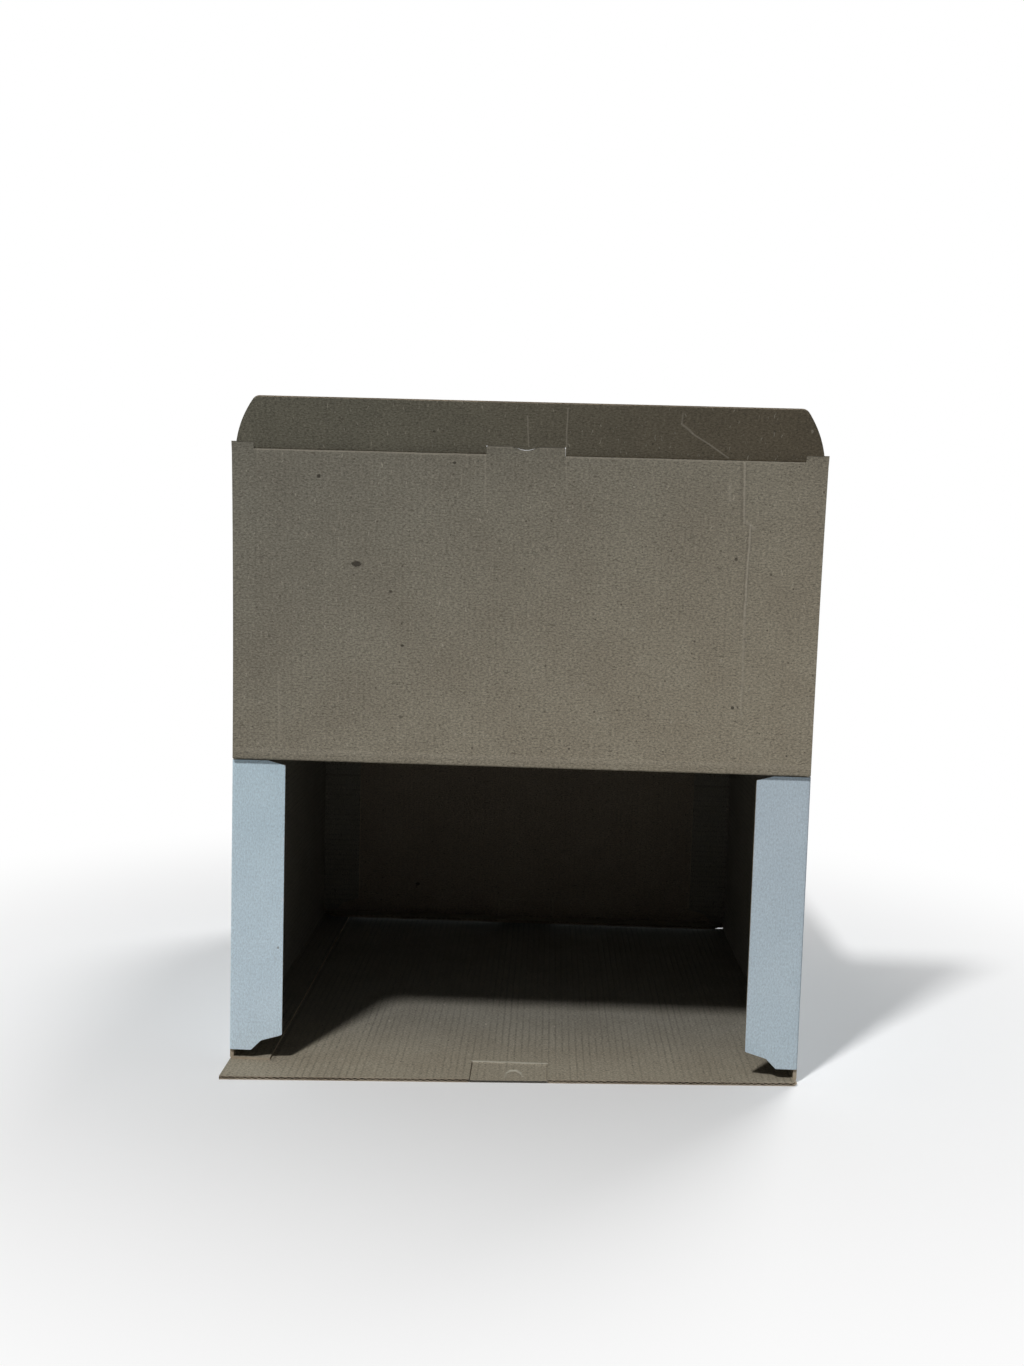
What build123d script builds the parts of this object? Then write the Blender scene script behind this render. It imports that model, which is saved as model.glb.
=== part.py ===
from build123d import *
import os
from math import asin, cos, degrees, radians, sin, sqrt

# A tuck-end carton of fluted board, lying on its side with its front lid turned up.
# The frame: X to the right, Y to the back, Z up. The origin is on the ground, under the
# middle of the carton.

# The carton
WIDTH = 254.0               # outside, across the two side walls
DEPTH = 254.0               # from the front faces of the front dust flaps to the rear ones
HEIGHT = 140.0              # from the ground to the top of the ceiling
BOARD = 1.6                 # thickness of the fluted board
FOLD_RADIUS = 1.6           # of the long folds, measured to the middle of the board
FOLD_GAP = 0.2              # between two panels at a fold that turns
CLEARANCE = 0.3             # between panels that pass or lie on each other

# The seam: the floor was glued a little askew under the left wall's glue flap
GLUE_FLAP_WIDTH = 18.0
GLUE_FLAP_BOARD = 1.0       # the flap is pressed flat where it is glued
FLOOR_LEAD_LEFT = 20.0      # how far the floor stands out before the front flaps
FLOOR_LEAD_RIGHT = 3.0

# The tongue cut into the floor's front edge, where the lid's tab presses
TONGUE_LENGTH = 24.0
TONGUE_BOARD = 1.0          # the tongue is pressed down to this thickness
TONGUE_CUT = 0.5
CATCH_OFFSET = -1.2         # the tongue and the tab lie this far off the middle

# The two lids
LID_SIDE_GAP = 0.5          # each lid is this much narrower at each side
TAB_WIDTH = 33.4
TAB_REACH = 2.2             # past the crease
TAB_ROUND = 1.0
THUMB_NOTCH_WIDTH = 10.7
THUMB_NOTCH_DEPTH = 1.8
SHOULDER_LENGTH = 9.5
SHOULDER_REACH = 1.3        # past the crease
LID_REST_LEAN = 3.0         # degrees, the open front lid leans forward

# The tuck flaps on the lids
TUCK_LENGTH = 22.4
TUCK_SIDE_GAP = 1.7         # each side, inside the lid's own sides
TUCK_SIDE_RADIUS = 48.8
TUCK_ARC_SINK = 8.0         # the sides' arcs are centred this far behind the fold
TUCK_CORNER_RADIUS = 4.0
TUCK_OPEN_ANGLE = 22.0      # degrees from the lid's plane, with the front lid up
TUCK_CLOSED_ANGLE = 98.0    # degrees from the lid's plane, with a lid shut

# The four dust flaps
DUST_FLAP_WIDTH = 22.7      # from the fold
DUST_FLAP_LIFT = 4.8        # above the floor's upper face
DUST_FLAP_TOP_GAP = 0.6     # under the ceiling
DUST_FOOT_LENGTH = 8.8      # the level part at the foot
DUST_CHAMFER = 4.5
DUST_RISE = 2.8             # past the chamfer
DUST_SHOULDER_LENGTH = 7.5
DUST_SHOULDER_DROP = 2.0

# The mouths of the flutes, seen in the cut edges
FLUTE_PITCH = 3.175
LINER = 0.25
MEDIUM = 0.9                # the wavy middle sheet, measured along the edge
MOUTH_DEPTH = 3.0

# Places that follow from the sizes above
HALF_BOARD = BOARD / 2
PANEL_END = HALF_BOARD + FOLD_GAP
WALL_MIDDLE = WIDTH / 2 - HALF_BOARD
DUST_AXIS_Y = DEPTH / 2 - HALF_BOARD
WALL_END_Y = DUST_AXIS_Y - PANEL_END
LID_AXIS_Y = DEPTH / 2 + CLEARANCE + HALF_BOARD
LID_AXIS_Z = HEIGHT - HALF_BOARD
CEILING_END_Y = LID_AXIS_Y - PANEL_END
FLOOR_END_Y = DEPTH / 2 + (FLOOR_LEAD_LEFT + FLOOR_LEAD_RIGHT) / 2
TAB_FOOT_Z = TONGUE_BOARD + CLEARANCE
TUCK_AXIS_Z = TAB_FOOT_Z + TAB_REACH + HALF_BOARD
LID_LENGTH = LID_AXIS_Z - TUCK_AXIS_Z
LID_WIDTH = WIDTH - 2 * LID_SIDE_GAP
TUCK_WIDTH = LID_WIDTH - 2 * TUCK_SIDE_GAP
TONGUE_WIDTH = TAB_WIDTH + 2 * CLEARANCE
DUST_FOOT_Z = BOARD + DUST_FLAP_LIFT
DUST_TOP_Z = HEIGHT - BOARD - DUST_FLAP_TOP_GAP
DUST_HEIGHT = DUST_TOP_Z - DUST_FOOT_Z
ROOM = 4 * BOARD            # spare length for cutting tools


def flute_mouths(length, plane):
    """The open flute ends along one cut edge, as prisms that sink into the board.

    The plane's X runs along the edge, its Y across the board and its Z out of the edge.
    """
    half_height = HALF_BOARD - LINER
    half_base = (FLUTE_PITCH - MEDIUM) / 2
    upright = Polygon((-half_base, -half_height), (half_base, -half_height), (0, half_height), align=None)
    hanging = Polygon((-half_base, half_height), (0, -half_height), (half_base, half_height), align=None)
    count = int((length - MEDIUM) / FLUTE_PITCH)
    upright_row = GridLocations(FLUTE_PITCH, 0, count, 1) * upright
    hanging_row = GridLocations(FLUTE_PITCH, 0, count - 1, 1) * hanging
    return plane * extrude(Sketch() + upright_row + hanging_row, -MOUTH_DEPTH)


def hinged_board(outline, fold_length):
    """A flat flap with a rolled edge about its own fold.

    The fold lies along X, the flap runs from it along Y, and its brown side faces +Z.
    """
    rolled_edge = Rot(0, 90, 0) * Cylinder(HALF_BOARD, fold_length)
    return extrude(outline, HALF_BOARD, both=True) + rolled_edge


def slab(x_range, y_range, z_range):
    """A block between three pairs of limits."""
    size = [high - low for low, high in (x_range, y_range, z_range)]
    middle = [(high + low) / 2 for low, high in (x_range, y_range, z_range)]
    return Pos(*middle) * Box(*size)


def sleeve_section():
    """The floor, two walls and ceiling as one folded strip, with the glue flap, in X and Z."""
    seam_z = BOARD + GLUE_FLAP_BOARD / 2
    fold_path = FilletPolyline(
        (-WIDTH / 2, HALF_BOARD),
        (WALL_MIDDLE, HALF_BOARD),
        (WALL_MIDDLE, LID_AXIS_Z),
        (-WALL_MIDDLE, LID_AXIS_Z),
        (-WALL_MIDDLE, seam_z),
        radius=FOLD_RADIUS,
    )
    flap_middle = -WALL_MIDDLE - HALF_BOARD + GLUE_FLAP_WIDTH / 2
    glue_flap = Pos(flap_middle, seam_z) * Rectangle(GLUE_FLAP_WIDTH, GLUE_FLAP_BOARD)
    return trace(fold_path, BOARD) + glue_flap


def floor_front_plane():
    """The plane of the floor's askew front edge, with its Z out of the edge."""
    fall = FLOOR_LEAD_LEFT - FLOOR_LEAD_RIGHT
    middle = (0, -FLOOR_END_Y, HALF_BOARD)
    return Plane(origin=middle, x_dir=(WIDTH, fall, 0), z_dir=(fall, -WIDTH, 0))


def floor_front_cuts():
    """What the long floor loses: its askew end, the flute mouths and the tongue's cuts."""
    edge = floor_front_plane()
    beyond = edge * Pos(0, 0, FLOOR_LEAD_LEFT) * Box(2 * WIDTH, ROOM, 2 * FLOOR_LEAD_LEFT)
    tongue_sides = [CATCH_OFFSET + side * TONGUE_WIDTH / 2 for side in (-1, 1)]
    tongue_y = (-FLOOR_END_Y - FLOOR_LEAD_LEFT, -FLOOR_END_Y + TONGUE_LENGTH)
    pressed = slab(tongue_sides, tongue_y, (TONGUE_BOARD, ROOM))
    slits = [slab((x - TONGUE_CUT / 2, x + TONGUE_CUT / 2), tongue_y, (-ROOM, ROOM)) for x in tongue_sides]
    tongue_room = slab((tongue_sides[0] - LINER, tongue_sides[1] + LINER), tongue_y, (-ROOM, ROOM))
    mouths = flute_mouths(WIDTH - 4 * FOLD_RADIUS, edge) - tongue_room
    return [beyond, pressed, *slits, mouths]


def front_openings():
    """What the tube loses at its front, to bare the floor and free the dust flaps."""
    outside = (-WIDTH, WIDTH)
    before_ceiling = slab(outside, (-DEPTH, -CEILING_END_Y), (BOARD, 2 * HEIGHT))
    flap_z = (DUST_FOOT_Z - CLEARANCE, DUST_TOP_Z + CLEARANCE)
    before_walls = slab(outside, (-DEPTH, -WALL_END_Y), flap_z)
    return [before_ceiling, before_walls]


def ceiling_relief():
    """The bevels on the ceiling's two ends, where an open lid lies back."""
    bevel = Polygon(
        (CEILING_END_Y, HEIGHT),
        (CEILING_END_Y, LID_AXIS_Z),
        (CEILING_END_Y - HALF_BOARD, HEIGHT),
        align=None,
    )
    rear = extrude(Plane.YZ * bevel, WIDTH, both=True)
    return [rear, Rot(0, 0, 180) * rear]


def sleeve():
    """The fixed part of the carton: the glued tube with its two folded rear dust flaps."""
    rear_plane = Plane(origin=(0, CEILING_END_Y, 0), x_dir=(1, 0, 0), z_dir=(0, -1, 0))
    length = CEILING_END_Y + DEPTH / 2 + FLOOR_LEAD_LEFT
    tube = extrude(rear_plane * sleeve_section(), length)
    tube -= front_openings()
    tube -= slab((-WIDTH, WIDTH), (DUST_AXIS_Y, DEPTH), (DUST_FOOT_Z, DUST_TOP_Z))
    right_flap = dust_flap_plane(DUST_AXIS_Y) * dust_flap()
    tube += [right_flap, mirror(right_flap, Plane.YZ)]
    return tube - ceiling_relief() - floor_front_cuts()


def dust_flap_plane(fold_y):
    """Where a right-hand dust flap folds in: X up, Y inward, Z to the front."""
    middle_z = (DUST_FOOT_Z + DUST_TOP_Z) / 2
    return Plane(origin=(WALL_MIDDLE, fold_y, middle_z), x_dir=(0, 0, 1), z_dir=(0, -1, 0))


def dust_flap():
    """A dust flap, its foot chamfered to clear the tuck flap that slides in under it."""
    foot = -DUST_HEIGHT / 2
    top = DUST_HEIGHT / 2
    free_foot = foot + DUST_CHAMFER + DUST_RISE
    free_top = top - DUST_SHOULDER_DROP
    outline = Polygon(
        (foot, 0),
        (top, 0),
        (top, DUST_FLAP_WIDTH - DUST_SHOULDER_LENGTH),
        (free_top, DUST_FLAP_WIDTH),
        (free_foot, DUST_FLAP_WIDTH),
        (foot + DUST_CHAMFER, DUST_FOOT_LENGTH + DUST_CHAMFER),
        (foot, DUST_FOOT_LENGTH),
        align=None,
    )
    free_edge = Plane(origin=((free_foot + free_top) / 2, DUST_FLAP_WIDTH, 0), x_dir=(1, 0, 0), z_dir=(0, 1, 0))
    return hinged_board(outline, DUST_HEIGHT) - flute_mouths(free_top - free_foot, free_edge)


def tab_outline():
    """The tab in the middle of a lid's crease, with its thumb notch."""
    root_y = LID_LENGTH - PANEL_END
    tip_y = LID_LENGTH + HALF_BOARD + TAB_REACH
    tab = Pos(CATCH_OFFSET, (root_y + tip_y) / 2) * Rectangle(TAB_WIDTH, tip_y - root_y)
    tab = fillet(tab.vertices().group_by(Axis.Y)[-1], TAB_ROUND)
    notch_radius = (THUMB_NOTCH_WIDTH**2 / 4 + THUMB_NOTCH_DEPTH**2) / (2 * THUMB_NOTCH_DEPTH)
    notch_y = tip_y - THUMB_NOTCH_DEPTH + notch_radius
    return tab - Pos(CATCH_OFFSET, notch_y) * Circle(notch_radius)


def lid():
    """A lid panel, with the tab and the two shoulders that reach past its crease."""
    panel_end = LID_LENGTH - PANEL_END
    panel = Pos(0, panel_end / 2) * Rectangle(LID_WIDTH, panel_end)
    shoulder_tip = LID_LENGTH + HALF_BOARD + SHOULDER_REACH
    shoulder = Pos(LID_WIDTH / 2 - SHOULDER_LENGTH / 2, (panel_end + shoulder_tip) / 2) * Rectangle(
        SHOULDER_LENGTH, shoulder_tip - panel_end
    )
    outline = panel + tab_outline() + shoulder + mirror(shoulder, Plane.YZ)
    return hinged_board(outline, LID_WIDTH)


def tuck_outline():
    """A tuck flap's outline, curving in at the sides to a narrower free edge."""
    half_width = TUCK_WIDTH / 2
    start = degrees(asin(TUCK_ARC_SINK / TUCK_SIDE_RADIUS))
    sweep = degrees(asin((TUCK_LENGTH + TUCK_ARC_SINK) / TUCK_SIDE_RADIUS)) - start
    centre_x = half_width - TUCK_SIDE_RADIUS * cos(radians(start))
    right = CenterArc((centre_x, -TUCK_ARC_SINK), TUCK_SIDE_RADIUS, start, sweep)
    left = CenterArc((-centre_x, -TUCK_ARC_SINK), TUCK_SIDE_RADIUS, 180 - start, -sweep)
    base = Polyline(left @ 0, (-half_width, 0), (half_width, 0), right @ 0)
    outline = make_face([base, right, Line(right @ 1, left @ 1), left])
    return fillet(outline.vertices().group_by(Axis.Y)[-1], TUCK_CORNER_RADIUS)


def tuck_flap():
    """A tuck flap, notched about the lid's tab and shoulders."""
    tab_x = (CATCH_OFFSET - TAB_WIDTH / 2 - CLEARANCE, CATCH_OFFSET + TAB_WIDTH / 2 + CLEARANCE)
    tab_notch = slab(tab_x, (-BOARD, HALF_BOARD + TAB_REACH + CLEARANCE), (-BOARD, BOARD))
    shoulder_x = (LID_WIDTH / 2 - SHOULDER_LENGTH - CLEARANCE, LID_WIDTH)
    end_notch = slab(shoulder_x, (-BOARD, HALF_BOARD + SHOULDER_REACH + CLEARANCE), (-BOARD, BOARD))
    free_edge = Plane(origin=(0, TUCK_LENGTH, 0), x_dir=(1, 0, 0), z_dir=(0, 1, 0))
    narrowing = TUCK_SIDE_RADIUS - sqrt(TUCK_SIDE_RADIUS**2 - (TUCK_LENGTH + TUCK_ARC_SINK) ** 2)
    edge_length = TUCK_WIDTH - 2 * narrowing - 2 * TUCK_CORNER_RADIUS
    flap = hinged_board(tuck_outline(), TUCK_WIDTH)
    return flap - tab_notch - end_notch - mirror(end_notch, Plane.YZ) - flute_mouths(edge_length, free_edge)


def front_lid_place(opened):
    """Where the front lid hangs, turned up from shut by an angle in degrees."""
    turn = radians(opened)
    axis_point = (0, -LID_AXIS_Y, LID_AXIS_Z)
    return Plane(origin=axis_point, x_dir=(1, 0, 0), z_dir=(0, cos(turn), -sin(turn))).location


def on_lid(lid_place, folded):
    """Where a tuck flap hangs on its lid, folded in from the lid's plane by an angle."""
    return lid_place * Pos(0, LID_LENGTH, 0) * Rot(folded, 0, 0)


def closed_lid_places():
    """The shut rear lid and its tuck flap: the front ones, turned half round."""
    shut = Rot(0, 0, 180) * front_lid_place(0)
    return shut, on_lid(shut, TUCK_CLOSED_ANGLE)


def build_nodes():
    """Every node of the carton in its place at rest."""
    front_lid = front_lid_place(180 - LID_REST_LEAN)
    rear_lid, rear_tuck = closed_lid_places()
    right_dust_flap = dust_flap_plane(-DUST_AXIS_Y) * dust_flap()
    return {
        "sleeve": sleeve(),
        "front_lid": front_lid * lid(),
        "front_tuck_flap": on_lid(front_lid, TUCK_OPEN_ANGLE) * tuck_flap(),
        "front_dust_flap_right": right_dust_flap,
        "front_dust_flap_left": mirror(right_dust_flap, Plane.YZ),
        "rear_lid": rear_lid * lid(),
        "rear_tuck_flap": rear_tuck * tuck_flap(),
    }


def main():
    """Writes one STEP file for each node."""
    os.makedirs("parts", exist_ok=True)
    for node, solid in build_nodes().items():
        export_step(solid, f"parts/{node}.step")


if __name__ == "__main__":
    main()
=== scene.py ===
"""A tuck-end cake carton of fluted board, dressed for rendering.

The carton lies on its side with its front lid turned up. Every panel is one folded strip of
fluted board: two liners with a wavy medium between them, cut open at its ends. Lengths are in
metres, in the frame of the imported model: X to the right, Y to the back, Z up.
"""

import logging
import math
from dataclasses import dataclass, field, replace
from enum import Enum
from typing import Any, Optional, Sequence, Union

import bpy
import numpy as np
from mathutils import Matrix

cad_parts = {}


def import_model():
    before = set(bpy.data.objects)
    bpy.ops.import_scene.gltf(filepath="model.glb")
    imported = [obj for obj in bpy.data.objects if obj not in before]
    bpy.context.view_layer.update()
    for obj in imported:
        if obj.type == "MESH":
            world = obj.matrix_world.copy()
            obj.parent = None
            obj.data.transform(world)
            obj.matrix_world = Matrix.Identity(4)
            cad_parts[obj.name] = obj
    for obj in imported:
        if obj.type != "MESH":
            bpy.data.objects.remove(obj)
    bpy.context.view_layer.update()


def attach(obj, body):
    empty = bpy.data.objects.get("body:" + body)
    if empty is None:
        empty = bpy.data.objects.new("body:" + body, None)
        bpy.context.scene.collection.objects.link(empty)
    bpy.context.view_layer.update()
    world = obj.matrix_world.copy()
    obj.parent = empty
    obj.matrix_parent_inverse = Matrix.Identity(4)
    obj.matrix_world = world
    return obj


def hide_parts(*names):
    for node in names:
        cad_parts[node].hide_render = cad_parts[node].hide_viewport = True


LOG = logging.getLogger("cake_box")
MM = 0.001
PLACE = "sheet"
NUDGE = 0.01 * MM
END_POINTS = 8
SMOOTH_ANGLE = math.radians(32)

Array = np.ndarray
Colour = tuple[float, float, float, float]
Pair = tuple[float, float]
Triple = tuple[float, float, float]
Material = bpy.types.Material
Socket = bpy.types.NodeSocket
Value = Union[float, Sequence[float], Socket]


class Side(Enum):
    """The three kinds of surface on a board, in the order of its material slots."""

    INNER = 0
    OUTER = 1
    CUT = 2


class Slot(Enum):
    """The record's material slots."""

    FLUTED = "fluted_board"
    WHITE = "white_faced_board"


class End(Enum):
    """The carton's two ends, by the sign of their Y."""

    FRONT = -1
    REAR = 1


@dataclass(frozen=True)
class Board:
    """Fluted board: its thickness, its three papers and its flutes."""

    thickness: float = 1.6 * MM
    liner: float = 0.24 * MM
    medium: float = 0.2 * MM
    pitch: float = 3.175 * MM
    mouth_depth: float = 3.0 * MM
    mouth_share: float = 0.4
    columns_per_flute: int = 8

    @property
    def half(self) -> float:
        """Half the thickness."""
        return self.thickness / 2

    def wave(self, u: Array) -> Array:
        """The height of the medium's middle over the board's middle.

        Args:
            u: Places across the flutes.

        Returns:
            A cosine of one flute's pitch, whose crests touch the liners.
        """
        swing = self.half - self.liner - self.medium / 2 - NUDGE
        return swing * np.cos(2 * math.pi * u / self.pitch)

    def edge(self, u: Array, depth: Array, rolled: Array) -> tuple[Array, Array]:
        """The eight points that close a strip's end, from its inner liner to its outer one.

        A cut end shows both liners' rims and the medium's rim, with a pocket above and below
        the medium. A rolled end is a half circle of the board's thickness.

        Args:
            u: Places of the columns, across the flutes.
            depth: How deep each column's pockets are.
            rolled: True where the column's end is rolled.

        Returns:
            How far inside the end each point lies, and its height over the board's middle,
            one row for each column.
        """
        middle = self.wave(u)
        lip = np.full_like(u, self.half - self.liner)
        over, under = middle + self.medium / 2, middle - self.medium / 2
        rim = np.zeros_like(u)
        inside = np.stack([rim, depth, depth, rim, rim, depth, depth, rim], 1)
        height = np.stack([lip, lip, over, over, under, under, -lip, -lip], 1)
        turn = np.linspace(0, math.pi, END_POINTS + 2)[1:-1]
        round_inside = np.broadcast_to(-self.half * np.sin(turn), inside.shape)
        round_height = np.broadcast_to(self.half * np.cos(turn), inside.shape)
        choose = rolled[:, None]
        return np.where(choose, round_inside, inside), np.where(choose, round_height, height)


@dataclass
class Strip:
    """One strip of board. u runs across the flutes, v along them, t from white to brown.

    The methods down to press are the plain answers: a strip that starts at a rolled fold,
    has open flutes and isn't pressed. Each kind of strip gives its own where they differ.
    """

    board: Board = field(default_factory=Board, kw_only=True)

    def reach(self) -> Pair:
        """The first and last u."""
        raise NotImplementedError

    def breaks(self) -> list[float]:
        """Values of u at which an end or the press jumps."""
        return []

    def rows(self) -> list[float]:
        """Values of v at which the faces are divided, in order."""
        return []

    def near(self, u: Array) -> Array:
        """The low end of v at each u."""
        return np.zeros_like(u)

    def far(self, u: Array) -> Array:
        """The high end of v at each u."""
        raise NotImplementedError

    def near_rolled(self, u: Array) -> Array:
        """True where the low end is rolled about a fold."""
        return np.ones(u.shape, bool)

    def near_open(self, u: Array) -> Array:
        """True where the low end shows the mouths of the flutes."""
        return np.ones(u.shape, bool)

    def far_open(self, u: Array) -> Array:
        """True where the high end shows them."""
        return np.ones(u.shape, bool)

    def press(self, u: Array, v: Array) -> tuple[Array, Array]:
        """The share of the thickness that is left, and the height that stays where it is."""
        return np.ones_like(u), np.zeros_like(u)

    def place(self, u: Array, v: Array, t: Array) -> Array:
        """Where points lie in the frame, with X, Y and Z last."""
        raise NotImplementedError

    def columns(self) -> Array:
        """The places of the columns: evenly across the flutes, and a pair at each jump.

        Returns:
            Rising values of u.
        """
        first, last = self.reach()
        step = self.board.pitch / self.board.columns_per_flute
        even = np.linspace(first, last, int(round((last - first) / step)) + 1)
        jumps = np.array(self.breaks(), float)
        if jumps.size:
            even = even[np.abs(even[:, None] - jumps).min(1) > 3 * NUDGE]
        return np.sort(np.concatenate([even, jumps - NUDGE, jumps + NUDGE]))

    def rings(self) -> tuple[Array, Array, Array, Array]:
        """The closed outline of the board at every column.

        Each ring runs along the brown liner from near to far, round the far end, back along
        the white liner and round the near end. A rolled near end belongs half to each liner.

        Returns:
            u, v and t of every point, one row for each column, and the side that each
            stretch of the ring belongs to.
        """
        u = self.columns()
        near, far = self.near(u), self.far(u)
        inner = np.array(self.rows(), float)
        order = np.arange(1, inner.size + 1)
        low = near[:, None] + NUDGE * order
        high = far[:, None] - NUDGE * order[::-1]
        between = np.clip(np.broadcast_to(inner, (u.size, inner.size)), low, high)
        skin = np.concatenate([near[:, None], between, far[:, None]], 1)
        depth = np.minimum(self.board.mouth_depth, self.board.mouth_share * (far - near))
        depth[[0, -1]] = NUDGE
        no_roll = np.zeros(u.shape, bool)
        far_in, far_t = self.board.edge(u, np.where(self.far_open(u), depth, NUDGE), no_roll)
        near_depth = np.where(self.near_open(u), depth, NUDGE)
        near_in, near_t = self.board.edge(u, near_depth, self.near_rolled(u))
        half = np.full_like(skin, self.board.half)
        far_end, near_end = far[:, None] - far_in, near[:, None] + near_in[:, ::-1]
        v = np.concatenate([skin, far_end, skin[:, ::-1], near_end], 1)
        t = np.concatenate([half, far_t, -half, near_t[:, ::-1]], 1)
        faces = skin.shape[1] - 1
        cut = [Side.CUT] * (END_POINTS + 1)
        rolled = [Side.OUTER] * 5 + [Side.INNER] * 4
        near_sides = rolled if self.near_rolled(u).any() else cut
        sides = [Side.INNER] * faces + cut + [Side.OUTER] * faces + near_sides
        side_numbers = np.array([side.value for side in sides])
        return np.broadcast_to(u[:, None], v.shape), v, t, side_numbers

    def caps(self, ring: int) -> list[Array]:
        """The faces that close the first column, as places in its ring.

        The two skins are joined by a ladder of four-sided faces, and each end of the ladder
        by one face over the end's own points.

        Args:
            ring: How many points the ring has.

        Returns:
            The ladder's faces, the far end's face and the near end's face.
        """
        skin = len(self.rows()) + 2
        inner = np.arange(skin)
        outer = inner + skin + END_POINTS
        back = outer[::-1]
        rungs = np.stack([inner[:-2], inner[1:-1], back[1:-1], back[:-2]], 1)
        far_end = np.arange(skin - 2, outer[0] + 2)
        near_end = np.concatenate([np.arange(outer[-1], ring), [0]])
        return [rungs, far_end, near_end]

    def surface(self) -> tuple[Array, Array, Array, Array, Array]:
        """The strip's closed surface.

        Returns:
            Its points, their places on the sheet, and its faces' corners, sizes and sides.
        """
        u, v, t, ring_sides = self.rings()
        share, anchor = self.press(u, v)
        pressed = anchor + (t - anchor) * share
        points = self.place(u, v, pressed).reshape(-1, 3)
        places = np.stack([u, v, t], 2).reshape(-1, 3)
        count, ring = u.shape
        index = np.arange(count * ring).reshape(count, ring)
        after = np.roll(index, -1, 1)
        quads = np.stack([index[:-1], after[:-1], after[1:], index[1:]], 2).reshape(-1, 4)
        corners, sizes = [quads.ravel()], [np.full(len(quads), 4)]
        sides = [np.tile(ring_sides, count - 1)]
        for column, turn in ((0, -1), (count - 1, 1)):
            for cap in self.caps(ring):
                faces = (np.atleast_2d(cap) + column * ring)[:, ::turn]
                corners.append(faces.ravel())
                sizes.append(np.full(len(faces), faces.shape[1]))
                sides.append(np.full(len(faces), Side.CUT.value))
        corner, size = np.concatenate(corners), np.concatenate(sizes)
        if self._faces_inward(points, quads):
            corner = self._turned_over(corner, size)
        return points, places, corner, size, np.concatenate(sides)

    @staticmethod
    def _faces_inward(points: Array, quads: Array) -> bool:
        """Tells whether the faces point inward.

        Each face's normal, as the product of its diagonals, is compared with its direction
        from the middle of all points.

        Args:
            points: The strip's points.
            quads: The corners of its four-sided faces.

        Returns:
            True when they point inward on the whole.
        """
        first, second, third, fourth = (points[quads[:, k]] for k in range(4))
        normal = np.cross(third - first, fourth - second)
        outward = (first + third) / 2 - points.mean(0)
        return bool((normal * outward).sum() < 0)

    @staticmethod
    def _turned_over(corners: Array, sizes: Array) -> Array:
        """The corners of faces, with each face's own corners in the opposite order.

        Args:
            corners: All faces' corners, one face after another.
            sizes: How many corners each face has.

        Returns:
            The corners in their new order.
        """
        starts = np.concatenate([[0], np.cumsum(sizes)[:-1]])
        within = np.arange(sizes.sum()) - np.repeat(starts, sizes)
        return corners[np.repeat(starts + sizes - 1, sizes) - within]


@dataclass
class Piece:
    """A visible piece of the carton.

    Attributes:
        name: Its name.
        body: The body that it rides on.
        node: The CAD node that it stands for.
        strips: Its strips of board.
        inner: The material of its brown side.
        outer: The material of its white side.
        cut: The material of its cut edges.
        slot: The material slot that it stands for. It is not used.
    """

    name: str
    body: str
    node: str
    strips: Sequence[Strip]
    inner: Material
    outer: Material
    cut: Material
    slot: Slot = Slot.FLUTED

    def add(self) -> bpy.types.Object:
        """Returns:
            The new object, at the origin.
        """
        obj = self.build()
        for material in (self.inner, self.outer, self.cut):
            obj.data.materials.append(material)
        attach(obj, self.body)
        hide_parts(self.node)
        faces = len(obj.data.polygons)
        LOG.info("%s: %d faces, rides %s, stands for %s", self.name, faces, self.body, self.node)
        return obj

    def build(self) -> bpy.types.Object:
        """Makes the object from its strips, with its place on the sheet kept as an attribute.

        Returns:
            The new object, still without materials.
        """
        points, places, corners, sizes, sides = [], [], [], [], []
        offset = 0
        for strip in self.strips:
            point, place, corner, size, side = strip.surface()
            points.append(point)
            places.append(place)
            corners.append(corner + offset)
            sizes.append(size)
            sides.append(side)
            offset += len(point)
        mesh = bpy.data.meshes.new(self.name)
        self._fill(mesh, *(np.concatenate(part) for part in (points, places, corners, sizes, sides)))
        obj = bpy.data.objects.new(self.name, mesh)
        bpy.context.scene.collection.objects.link(obj)
        return obj

    @staticmethod
    def _fill(
        mesh: bpy.types.Mesh, points: Array, places: Array, corners: Array, sizes: Array, sides: Array
    ) -> None:
        """Writes the surface, its side slots and its place on the sheet into a mesh.

        Args:
            mesh: The empty mesh.
            points: The points.
            places: Their places on the sheet.
            corners: All faces' corners, one face after another.
            sizes: How many corners each face has.
            sides: Each face's side of the board.
        """
        mesh.vertices.add(len(points))
        mesh.vertices.foreach_set("co", points.astype(np.float32).ravel())
        mesh.loops.add(len(corners))
        mesh.loops.foreach_set("vertex_index", corners.astype(np.int32))
        mesh.polygons.add(len(sizes))
        starts = np.concatenate([[0], np.cumsum(sizes)[:-1]]).astype(np.int32)
        mesh.polygons.foreach_set("loop_start", starts)
        mesh.polygons.foreach_set("material_index", sides.astype(np.int32))
        sheet = mesh.attributes.new(PLACE, "FLOAT_VECTOR", "POINT")
        sheet.data.foreach_set("vector", places.astype(np.float32).ravel())
        uv = mesh.uv_layers.new(name="board")
        uv.data.foreach_set("uv", places[corners, :2].astype(np.float32).ravel())
        mesh.update(calc_edges=True)
        mesh.validate()
        mesh.shade_smooth()
        mesh.set_sharp_from_angle(angle=SMOOTH_ANGLE)


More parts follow.
